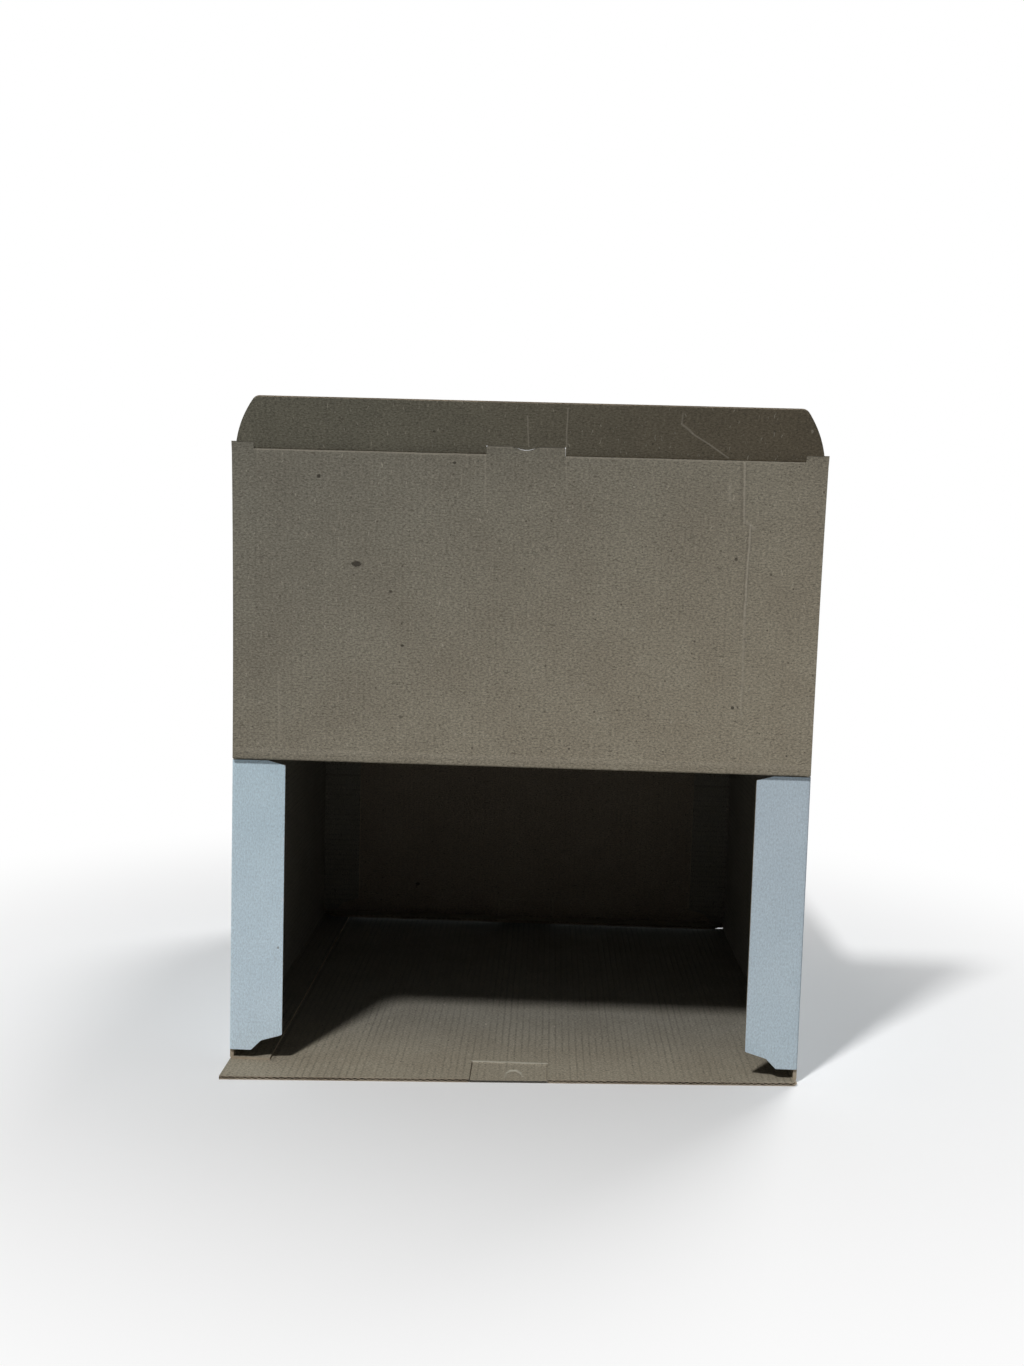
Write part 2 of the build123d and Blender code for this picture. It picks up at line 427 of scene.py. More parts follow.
@dataclass(frozen=True)
class FlapFrame:
    """Where a flat flap hangs: its fold's middle and its three directions."""

    origin: Triple
    along: Triple
    away: Triple
    inner: Triple

    def points(self, u: Array, v: Array, t: Array) -> Array:
        """Places points on the flap.

        Args:
            u: Lengths along the fold.
            v: Lengths away from it.
            t: Heights towards the brown side.

        Returns:
            The points, with X, Y and Z last.
        """
        basis = np.array([self.along, self.away, self.inner])
        return np.array(self.origin) + np.stack([u, v, t], -1) @ basis

    def turned(self, distance: float, degrees: float) -> "FlapFrame":
        """The frame of a flap that folds on this one.

        Args:
            distance: From this fold to the next.
            degrees: How far the next flap folds towards the brown side.

        Returns:
            The next flap's frame.
        """
        away, inner = np.array(self.away), np.array(self.inner)
        turn = math.radians(degrees)
        new_away = away * math.cos(turn) + inner * math.sin(turn)
        new_inner = inner * math.cos(turn) - away * math.sin(turn)
        origin = np.array(self.origin) + distance * away
        return FlapFrame(tuple(origin), self.along, tuple(new_away), tuple(new_inner))


@dataclass
class FoldPath:
    """The middle line of the tube's wall in X and Z, rounded at its folds.

    Attributes:
        corners: The path's ends and corners.
        radii: The radius at each corner between the ends.
    """

    corners: Sequence[Pair]
    radii: Sequence[float]

    def __post_init__(self) -> None:
        """Works out where each straight run and each bend begins."""
        corner = np.array(self.corners)
        run = np.diff(corner, axis=0)
        length = np.hypot(*run.T)
        self.heading = run / length[:, None]
        cut = np.array([0.0, *self.radii, 0.0])
        self.run_start = corner[:-1] + self.heading * cut[:-1, None]
        self.straight = length - cut[:-1] - cut[1:]
        bend = np.array(self.radii) * math.pi / 2
        self.begin = np.concatenate([[0], np.cumsum(self.straight[:-1] + bend)])
        self.total = float(self.begin[-1] + self.straight[-1])

    def at(self, u: Array) -> tuple[Array, Array]:
        """The middle line's points and inward directions.

        On a run the point moves straight ahead. On a bend it turns about a centre that lies
        one radius inward.

        Args:
            u: Lengths along the path.

        Returns:
            Points and inward unit directions, each with X and Z last.
        """
        leg = np.clip(np.searchsorted(self.begin, u, side="right") - 1, 0, len(self.begin) - 1)
        heading = self.heading[leg]
        inward = np.stack([-heading[..., 1], heading[..., 0]], -1)
        ahead = u - self.begin[leg]
        over = np.maximum(ahead - self.straight[leg], 0)
        radius = np.array([*self.radii, 1.0])[leg]
        turn = (over / radius)[..., None]
        run_end = self.run_start[leg] + heading * np.minimum(ahead, self.straight[leg])[..., None]
        centre = run_end + inward * radius[..., None]
        direction = inward * np.cos(turn) - heading * np.sin(turn)
        return centre - direction * radius[..., None], direction


@dataclass
class DustFlap(Strip):
    """A dust flap on a wall's end. u goes up from its middle, v inward from the wall.

    Attributes:
        side: 1 on the right wall, -1 on the left wall.
        end: The carton's end that it is at.
        axis: How far its fold lies from the carton's middle, in X and in Y.
        low: The height of its foot.
        high: The height of its top.
        width: Its width.
        foot: Its width at its foot.
        chamfer: The height and width of the slope over its foot.
        rise: The height of the steeper slope over that.
        shoulder: The width that its top corner loses.
        drop: The height of that corner's slope.
    """

    side: int
    end: End = End.FRONT
    axis: float = 126.2 * MM
    low: float = 6.4 * MM
    high: float = 137.8 * MM
    width: float = 22.7 * MM
    foot: float = 8.8 * MM
    chamfer: float = 4.5 * MM
    rise: float = 2.8 * MM
    shoulder: float = 7.5 * MM
    drop: float = 2.0 * MM

    def __post_init__(self) -> None:
        """Works out the flap's height and its frame."""
        self.height = self.high - self.low
        way = self.end.value
        fold = (self.side * self.axis, way * self.axis, (self.high + self.low) / 2)
        self.frame = FlapFrame(fold, (0, 0, 1), (-self.side, 0, 0), (0, -way, 0))

    def reach(self) -> Pair:
        """Its foot and its top."""
        return -self.height / 2, self.height / 2

    def rows(self) -> list[float]:
        """Divisions near its fold and near its free edge."""
        return [2 * MM, 6 * MM, self.width - 6 * MM, self.width - 2 * MM]

    def far(self, u: Array) -> Array:
        """The free edge: straight between five corners.

        Args:
            u: Heights over the flap's middle.

        Returns:
            The flap's width at each.
        """
        slope_top = self.chamfer + self.rise
        heights = [0, self.chamfer, slope_top, self.height - self.drop, self.height]
        foot_end, top_end = self.foot + self.chamfer, self.width - self.shoulder
        widths = [self.foot, foot_end, self.width, self.width, top_end]
        return np.interp(u + self.height / 2, heights, widths)

    def place(self, u: Array, v: Array, t: Array) -> Array:
        """Flat on its frame."""
        return self.frame.points(u, v, t)


@dataclass
class Tube(Strip):
    """The strip that folds into floor, right wall, ceiling, left wall and glue flap.

    u runs from the floor's left edge round to the glue flap's, and v is Y.

    Attributes:
        width: The outside width.
        height: The outside height.
        fold_radius: The radius of the middle line at the folds.
        glue_fold_radius: The same at the glue flap's fold.
        glue_flap_width: The glue flap's width.
        glue_flap_height: The height of its middle.
        glue_flap_share: The share of the thickness that it is pressed to.
        glue_start: How far before its fold the press begins.
        glue_ramp: The length over which it grows.
        floor_front: Y of the floor's askew front edge, at its left and right ends.
        front: Y of the ceiling's front edge.
        wall_front: Y of the walls' front edges, where the dust flaps hang.
        low_front: Y of the front edges under the dust flaps, and of the glue flap's.
        rear: Y of the rear edges.
        wall_rear: Y of the walls' rear edges, where the dust flaps hang.
        flap_clearance: The room over and under the dust flaps.
        tongue_middle: X of the tongue's middle.
        tongue_width: From the middle of one of its cuts to the other's.
        tongue_root: Y of its crease.
        tongue_ramp: The length over which it sinks in front of the crease.
        tongue_cut: The width of its cuts.
        tongue_share: The share of the thickness that it is pressed to.
        bevel_share: The share of the thickness that the ceiling's bevelled ends lose.
        end_row: From an end to the first division of the faces.
    """

    width: float = 254 * MM
    height: float = 140 * MM
    fold_radius: float = 1.6 * MM
    glue_fold_radius: float = 0.9 * MM
    glue_flap_width: float = 18 * MM
    glue_flap_height: float = 2.1 * MM
    glue_flap_share: float = 0.6
    glue_start: float = 0.4 * MM
    glue_ramp: float = 1.2 * MM
    floor_front: Pair = (-147 * MM, -130 * MM)
    front: float = -127.1 * MM
    wall_front: float = -125.2 * MM
    low_front: float = -126.0 * MM
    rear: float = 127.1 * MM
    wall_rear: float = 126.2 * MM
    flap_clearance: float = 0.3 * MM
    tongue_middle: float = -1.2 * MM
    tongue_width: float = 34 * MM
    tongue_root: float = -118.0 * MM
    tongue_ramp: float = 0.9 * MM
    tongue_cut: float = 0.16 * MM
    tongue_share: float = 0.62
    bevel_share: float = 0.5
    end_row: float = 0.8 * MM

    def __post_init__(self) -> None:
        """Works out the folded path, and where on it the dust flaps, folds and cuts lie."""
        side = self.width / 2
        wall = side - self.board.half
        low, high = self.board.half, self.height - self.board.half
        seam = self.glue_flap_height
        corners = [(-side, low), (wall, low), (wall, high), (-wall, high), (-wall, seam)]
        corners.append((-side + self.glue_flap_width, seam))
        self.path = FoldPath(corners, [self.fold_radius] * 3 + [self.glue_fold_radius])
        begin, start = self.path.begin, self.path.run_start
        room = self.flap_clearance
        flap_z = np.array([DustFlap.low - room, DustFlap.high + room])
        self.right = begin[1] + flap_z - start[1][1]
        self.left = begin[3] + start[3][1] - flap_z
        self.floor_end = begin[1] - 0.5 * self.fold_radius
        self.ceiling_start = begin[1] + self.path.straight[1]
        self.glue_flap_start = begin[4] - self.glue_start
        middle, half = self.tongue_middle + side, self.tongue_width / 2
        self.cuts = (middle - half, middle + half)

    def reach(self) -> Pair:
        """The whole path."""
        return 0.0, self.path.total

    def breaks(self) -> list[float]:
        """Both sides of the tongue's cuts, the floor's end and the dust flaps' ends.

        Returns:
            Values of u.
        """
        half = self.tongue_cut / 2
        cut_sides = [cut + way * half for cut in self.cuts for way in (-1, 1)]
        return [*cut_sides, self.floor_end, *self.right, *self.left]

    def rows(self) -> list[float]:
        """Divisions near the ends and about the tongue's crease."""
        sunk = self.tongue_root - self.tongue_ramp
        return [self.front + self.end_row, sunk, self.tongue_root, 0.0, self.rear - self.end_row]

    def on_floor(self, u: Array) -> Array:
        """True on the floor."""
        return u < self.floor_end

    def by_flaps(self, u: Array) -> Array:
        """True where a dust flap hangs."""
        by_right = (u > self.right[0]) & (u < self.right[1])
        return by_right | ((u > self.left[1]) & (u < self.left[0]))

    def near(self, u: Array) -> Array:
        """The front edge: askew on the floor, with the tongue's two cuts, and stepped above.

        Args:
            u: Lengths along the path.

        Returns:
            Y of the front edge at each.
        """
        left, right = self.floor_front
        half = self.tongue_cut / 2
        in_cut = (np.abs(u - self.cuts[0]) < half) | (np.abs(u - self.cuts[1]) < half)
        floor = np.where(in_cut, self.tongue_root, left + u / self.width * (right - left))
        above = (u > self.right[1]) & (u < self.left[1])
        free = np.where(above, self.front, self.low_front)
        standing = np.where(self.by_flaps(u), self.wall_front, free)
        return np.where(self.on_floor(u), floor, standing)

    def far(self, u: Array) -> Array:
        """The rear edge: stepped in where the dust flaps hang."""
        return np.where(self.by_flaps(u), self.wall_rear, self.rear)

    def near_rolled(self, u: Array) -> Array:
        """Nowhere: the front edge is cut."""
        return np.zeros(u.shape, bool)

    def near_open(self, u: Array) -> Array:
        """On the floor only."""
        return self.on_floor(u)

    def far_open(self, u: Array) -> Array:
        """On the floor only."""
        return self.on_floor(u)

    def press(self, u: Array, v: Array) -> tuple[Array, Array]:
        """Presses the tongue, the glue flap and the ceiling's two bevelled ends.

        Each is a straight ramp between full thickness and its own share. The tongue keeps
        its lower liner where it is, and a bevel keeps the brown one.

        Args:
            u: Lengths along the path.
            v: Places along Y.

        Returns:
            The share of the thickness that is left, and the height that stays.
        """
        half = self.board.half
        on_tongue = (u > self.cuts[0]) & (u < self.cuts[1])
        sunk = np.clip((self.tongue_root - v) / self.tongue_ramp, 0, 1) * on_tongue
        glued = np.clip((u - self.glue_flap_start) / self.glue_ramp, 0, 1)
        on_ceiling = (u > self.ceiling_start) & (u < self.path.begin[3])
        end = np.minimum(v - self.front, self.rear - v)
        bevel = np.clip(1 - end / half, 0, 1) * on_ceiling
        lost = (1 - self.tongue_share) * sunk + (1 - self.glue_flap_share) * glued
        share = 1 - lost - self.bevel_share * bevel
        return share, half * (bevel > 0) - half * (sunk > 0)

    def place(self, u: Array, v: Array, t: Array) -> Array:
        """Round the folded path.

        Args:
            u: Lengths along the path.
            v: Places along Y.
            t: Heights inward from the middle line.

        Returns:
            The points, with X, Y and Z last.
        """
        middle, inward = self.path.at(u)
        lies = middle + inward * t[..., None]
        return np.stack([lies[..., 0], v, lies[..., 1]], -1)


@dataclass
class Lid(Strip):
    """A lid panel with its tab, thumb notch and shoulders. u runs along its fold.

    Attributes:
        end: The carton's end that it closes.
        opened: How far it is turned up, in degrees.
        tab_lean: How far what stands beyond the crease leans inward, for its length.
        fold_y: How far its fold lies from the carton's middle.
        fold_z: The height of its fold.
        width: Its width.
        length: From its fold to the tuck flap's.
        crease_gap: From the tuck flap's fold back to the lid's edge.
        bow: How far its middle bulges outward.
        tab_middle: The middle of its tab.
        tab_width: The tab's width.
        tab_reach: How far the tab stands beyond the folded tuck flap.
        tab_round: The radius of the tab's corners.
        notch_width: The thumb notch's width.
        notch_depth: The thumb notch's depth.
        shoulder_length: The length of a shoulder.
        shoulder_reach: How far the shoulders stand beyond the folded tuck flap.
    """

    end: End
    opened: float
    tab_lean: float
    fold_y: float = 128.1 * MM
    fold_z: float = 139.2 * MM
    width: float = 253 * MM
    length: float = 134.9 * MM
    crease_gap: float = 0.75 * MM
    bow: float = 1.5 * MM
    tab_middle: float = -1.2 * MM
    tab_width: float = 33.4 * MM
    tab_reach: float = 2.2 * MM
    tab_round: float = 1.0 * MM
    notch_width: float = 10.7 * MM
    notch_depth: float = 1.8 * MM
    shoulder_length: float = 9.5 * MM
    shoulder_reach: float = 1.3 * MM

    def __post_init__(self) -> None:
        """Works out the lid's frame, turned up about its fold, and where its edge lies."""
        way, turn = self.end.value, math.radians(self.opened)
        away = (0.0, way * math.sin(turn), -math.cos(turn))
        inner = (0.0, -way * math.cos(turn), -math.sin(turn))
        fold = (0.0, way * self.fold_y, self.fold_z)
        self.frame = FlapFrame(fold, (-way, 0.0, 0.0), away, inner)
        self.root = self.length - self.crease_gap
        self.shoulder_start = self.width / 2 - self.shoulder_length

    def reach(self) -> Pair:
        """Its two sides."""
        return -self.width / 2, self.width / 2

    def breaks(self) -> list[float]:
        """The tab's sides and the shoulders' inner ends.

        Returns:
            Values of u.
        """
        half = self.tab_width / 2
        tab = [self.tab_middle - half, self.tab_middle + half]
        return [*tab, -self.shoulder_start, self.shoulder_start]

    def rows(self) -> list[float]:
        """Even divisions for its bow."""
        return list(np.linspace(2 * MM, self.root - 2 * MM, 12))

    def far(self, u: Array) -> Array:
        """The edge: the crease, two shoulders, and the tab with its notch.

        The tab's corners are quarter circles. The notch is the arc through its two ends and
        its deepest point.

        Args:
            u: Places along the fold.

        Returns:
            The lid's length at each.
        """
        half_tab, half_notch = self.tab_width / 2, self.notch_width / 2
        tip = self.length + self.board.half + self.tab_reach
        radius = (half_notch**2 + self.notch_depth**2) / (2 * self.notch_depth)
        off = np.abs(u - self.tab_middle)
        into = np.clip(off - (half_tab - self.tab_round), 0, self.tab_round)
        rounded = tip - self.tab_round + np.sqrt(np.maximum(self.tab_round**2 - into**2, 0))
        bite = np.sqrt(np.maximum(radius**2 - np.minimum(off, half_notch) ** 2, 0))
        notched = np.minimum(rounded, tip - self.notch_depth + radius - bite)
        shoulder_tip = self.length + self.board.half + self.shoulder_reach
        edge = np.where(np.abs(u) > self.shoulder_start, shoulder_tip, self.root)
        return np.where(off < half_tab, notched, edge)

    def far_open(self, u: Array) -> Array:
        """On the tab and the shoulders only."""
        return self.far(u) > self.root + 2 * NUDGE

    def place(self, u: Array, v: Array, t: Array) -> Array:
        """On its frame, bowed outward along a parabola, and leaning beyond the crease.

        Args:
            u: Places along the fold.
            v: Lengths away from it.
            t: Heights towards the brown side.

        Returns:
            The points, with X, Y and Z last.
        """
        along = np.clip(v / self.length, 0, 1)
        lean = self.tab_lean * np.maximum(v - self.length, 0)
        return self.frame.points(u, v, t + lean - 4 * self.bow * along * (1 - along))


@dataclass
class TuckFlap(Strip):
    """The tuck flap at a lid's end, notched about the lid's tab and shoulders.

    u runs along the crease. The sides follow a circle, and a smaller circle eases each side
    into the free edge.

    Attributes:
        lid: The lid that it folds on.
        folded: How far it is folded towards the brown side, in degrees.
        width: The distance between its sides' circles at their widest.
        length: From its fold to its free edge.
        side_radius: The radius of its sides' circles.
        arc_sink: How far behind the fold their centres lie.
        corner_radius: The radius of the smaller circles.
        clearance: Its room about the lid's tab and shoulders, away from the crease.
        side_clearance: Its room beside them.
        thumb_share: The share of the thumb notch's depth that its low arch fills.
    """

    lid: Lid
    folded: float
    width: float = 249.6 * MM
    length: float = 22.4 * MM
    side_radius: float = 48.8 * MM
    arc_sink: float = 8.0 * MM
    corner_radius: float = 4 * MM
    clearance: float = 0.3 * MM
    side_clearance: float = 0.06 * MM
    thumb_share: float = 0.86

    def __post_init__(self) -> None:
        """Works out its frame, its notches, and where its two circles lie and touch."""
        lid = self.lid
        self.frame = lid.frame.turned(lid.length, self.folded)
        self.half_tab = lid.tab_width / 2 + self.side_clearance
        self.end_start = lid.shoulder_start - self.side_clearance
        self.end_near = self.board.half + lid.shoulder_reach + self.clearance
        half, sink = self.width / 2, self.arc_sink
        self.centre_u = half - math.sqrt(self.side_radius**2 - sink**2)
        height = self.length - self.corner_radius + sink
        inner_radius = self.side_radius - self.corner_radius
        ease = math.sqrt(inner_radius**2 - height**2)
        self.ease_u = self.centre_u + ease
        self.touch_u = self.centre_u + ease * self.side_radius / inner_radius

    def reach(self) -> Pair:
        """Where its sides' circles meet the notches for the shoulders.

        Returns:
            The first and last u.
        """
        deep = self.end_near + self.clearance + self.arc_sink
        widest = self.centre_u + math.sqrt(self.side_radius**2 - deep**2)
        return -widest, widest

    def breaks(self) -> list[float]:
        """The sides of its notches.

        Returns:
            Values of u.
        """
        middle = self.lid.tab_middle
        tab = [middle - self.half_tab, middle + self.half_tab]
        return [*tab, -self.end_start, self.end_start]

    def rows(self) -> list[float]:
        """Divisions past the notches, in the middle and near the free edge."""
        return [4.5 * MM, 12 * MM, self.length - 6 * MM]

    def near(self, u: Array) -> Array:
        """The crease, with notches for the shoulders and for the tab.

        The tab's notch has a low arch, a parabola that fills most of the thumb notch.

        Args:
            u: Places along the crease.

        Returns:
            How far from the fold the flap begins at each.
        """
        lid = self.lid
        off = u - lid.tab_middle
        half_thumb = lid.notch_width / 2 - self.side_clearance
        arch = np.maximum(1 - (off / half_thumb) ** 2, 0)
        tab_near = self.board.half + lid.tab_reach + self.clearance
        in_tab = tab_near - self.thumb_share * lid.notch_depth * arch
        beside = np.where(np.abs(u) > self.end_start, self.end_near, 0.0)
        return np.where(np.abs(off) < self.half_tab, in_tab, beside)

    def far(self, u: Array) -> Array:
        """The free edge and the round sides.

        Args:
            u: Places along the crease.

        Returns:
            The flap's length at each.
        """
        out = np.abs(u)
        big = np.sqrt(np.maximum(self.side_radius**2 - (out - self.centre_u) ** 2, 0))
        over = np.clip(out - self.ease_u, 0, self.corner_radius)
        small = self.length - self.corner_radius + np.sqrt(self.corner_radius**2 - over**2)
        eased = np.where(out > self.ease_u, small, self.length)
        return np.where(out > self.touch_u, big - self.arc_sink, eased)

    def near_rolled(self, u: Array) -> Array:
        """Between the notches."""
        off = np.abs(u - self.lid.tab_middle)
        return (off >= self.half_tab) & (np.abs(u) <= self.end_start)

    def place(self, u: Array, v: Array, t: Array) -> Array:
        """Flat on its frame."""
        return self.frame.points(u, v, t)


class Net:
    """A short way to write shader nodes in one node tree."""

    def __init__(self, tree: bpy.types.NodeTree) -> None:
        """Keeps the tree that nodes are added to."""
        self.tree = tree

    def node(self, kind: str, inputs: Optional[dict] = None, **settings: Any) -> bpy.types.Node:
        """Adds a node.

        Args:
            kind: The node's type.
            inputs: Sockets or values for its inputs, by name or number.
            settings: The node's own properties.

        Returns:
            The node.
        """
        made = self.tree.nodes.new(kind)
        for key, value in settings.items():
            setattr(made, key, value)
        for key, value in (inputs or {}).items():
            self.feed(made.inputs[key], value)
        return made

    def feed(self, socket: Socket, value: Value) -> None:
        """Links a socket to an input, or sets the input's own value.

        Args:
            socket: The input.
            value: A socket, or a constant.
        """
        if isinstance(value, bpy.types.NodeSocket):
            self.tree.links.new(value, socket)
        else:
            socket.default_value = value

    def math(
        self, operation: str, first: Value, second: Value = 0.0, third: Value = 0.0, clamp: bool = False
    ) -> Socket:
        """Adds a Math node.

        Args:
            operation: What it does.
            first: Its first value.
            second: Its second value.
            third: Its third value.
            clamp: Whether the result is kept between 0 and 1.

        Returns:
            The result.
        """
        values = {0: first, 1: second, 2: third}
        return self.node("ShaderNodeMath", values, operation=operation, use_clamp=clamp).outputs[0]

    def vector(self, operation: str, first: Value, second: Value = (0.0, 0.0, 0.0)) -> Socket:
        """The vector that a Vector Math node gives."""
        return self.node("ShaderNodeVectorMath", {0: first, 1: second}, operation=operation).outputs[0]

    def dot(self, first: Value, second: Value) -> Socket:
        """The dot product of two vectors."""
        inputs = {0: first, 1: second}
        return self.node("ShaderNodeVectorMath", inputs, operation="DOT_PRODUCT").outputs[1]

    def length(self, value: Value) -> Socket:
        """The length of a vector."""
        return self.node("ShaderNodeVectorMath", {0: value}, operation="LENGTH").outputs[1]

    def step(
        self, value: Value, low: float, high: float, start: float = 0.0, end: float = 1.0
    ) -> Socket:
        """Eases a value.

        Args:
            value: The value.
            low: Where it leaves start.
            high: Where it reaches end.
            start: The result up to low.
            end: The result from high on.

        Returns:
            The eased value.
        """
        inputs = {"Value": value, "From Min": low, "From Max": high, "To Min": start, "To Max": end}
        return self.node("ShaderNodeMapRange", inputs, interpolation_type="SMOOTHSTEP").outputs[0]

    def mix(self, share: Value, first: Value, second: Value, blend: str = "MIX") -> Socket:
        """Blends two colours.

        Args:
            share: How much of the second is taken.
            first: The first colour.
            second: The second colour.
            blend: How they are blended.

        Returns:
            The blend.
        """
        inputs = {0: share, 6: first, 7: second}
        return self.node("ShaderNodeMix", inputs, data_type="RGBA", blend_type=blend).outputs[2]

    def noise(self, place: Value, scale: float, detail: float = 2.0, rough: float = 0.5) -> Socket:
        """Adds a noise texture.

        Args:
            place: Where it is read.
            scale: Its scale.
            detail: Its detail.
            rough: Its roughness.

        Returns:
            Its value.
        """
        inputs = {"Vector": place, "Scale": scale, "Detail": detail, "Roughness": rough}
        return self.node("ShaderNodeTexNoise", inputs).outputs[0]

    def twist(self, place: Value, scale: float) -> Socket:
        """A vector that wanders: the colour of a noise texture."""
        inputs = {"Vector": place, "Scale": scale, "Detail": 1.0}
        return self.node("ShaderNodeTexNoise", inputs).outputs["Color"]

    def around(self, value: Socket, strength: float, middle: Value = 1.0) -> Socket:
        """A noise's swing about a half, times a strength, added to a middle value."""
        return self.math("MULTIPLY_ADD", self.math("SUBTRACT", value, 0.5), strength, middle)

    def sheet(self) -> Socket:
        """The place on the sheet: u, v and t."""
        return self.node("ShaderNodeAttribute", attribute_name=PLACE).outputs["Vector"]

    def seen(self) -> Socket:
        """Tells the rays that see a surface from the light that bounces off it.

        Returns:
            1 for camera, glossy and transmitted rays, and 0 for the others.
        """
        path = self.node("ShaderNodeLightPath").outputs
        seen = self.math("MAXIMUM", path["Is Camera Ray"], path["Is Glossy Ray"])
        return self.math("MAXIMUM", seen, path["Is Transmission Ray"])


class Group:
    """A shared node group with named inputs and outputs."""

    def __init__(
        self, name: str, vectors: Sequence[str], outputs: Sequence[str], numbers: Sequence[str] = ()
    ) -> None:
        """Makes the empty group and its sockets.

        Args:
            name: The group's name.
            vectors: The names of its vector inputs.
            outputs: The names of its outputs, which are numbers.
            numbers: The names of its number inputs.
        """
        self.tree = bpy.data.node_groups.new(name, "ShaderNodeTree")
        number, vector = "NodeSocketFloat", "NodeSocketVector"
        sockets = ((vectors, "INPUT", vector), (numbers, "INPUT", number), (outputs, "OUTPUT", number))
        for titles, way, kind in sockets:
            for title in titles:
                self.tree.interface.new_socket(title, in_out=way, socket_type=kind)
        self.net = Net(self.tree)
        self.given = self.net.node("NodeGroupInput").outputs
        self.result = self.net.node("NodeGroupOutput").inputs

    def use(self, net: Net, inputs: dict[str, Value]) -> bpy.types.NodeOutputs:
        """Adds the group to another tree.

        Args:
            net: The other tree.
            inputs: Sockets or values for the group's inputs.

        Returns:
            The group's outputs.
        """
        made = net.node("ShaderNodeGroup", node_tree=self.tree)
        for key, value in inputs.items():
            net.feed(made.inputs[key], value)
        return made.outputs


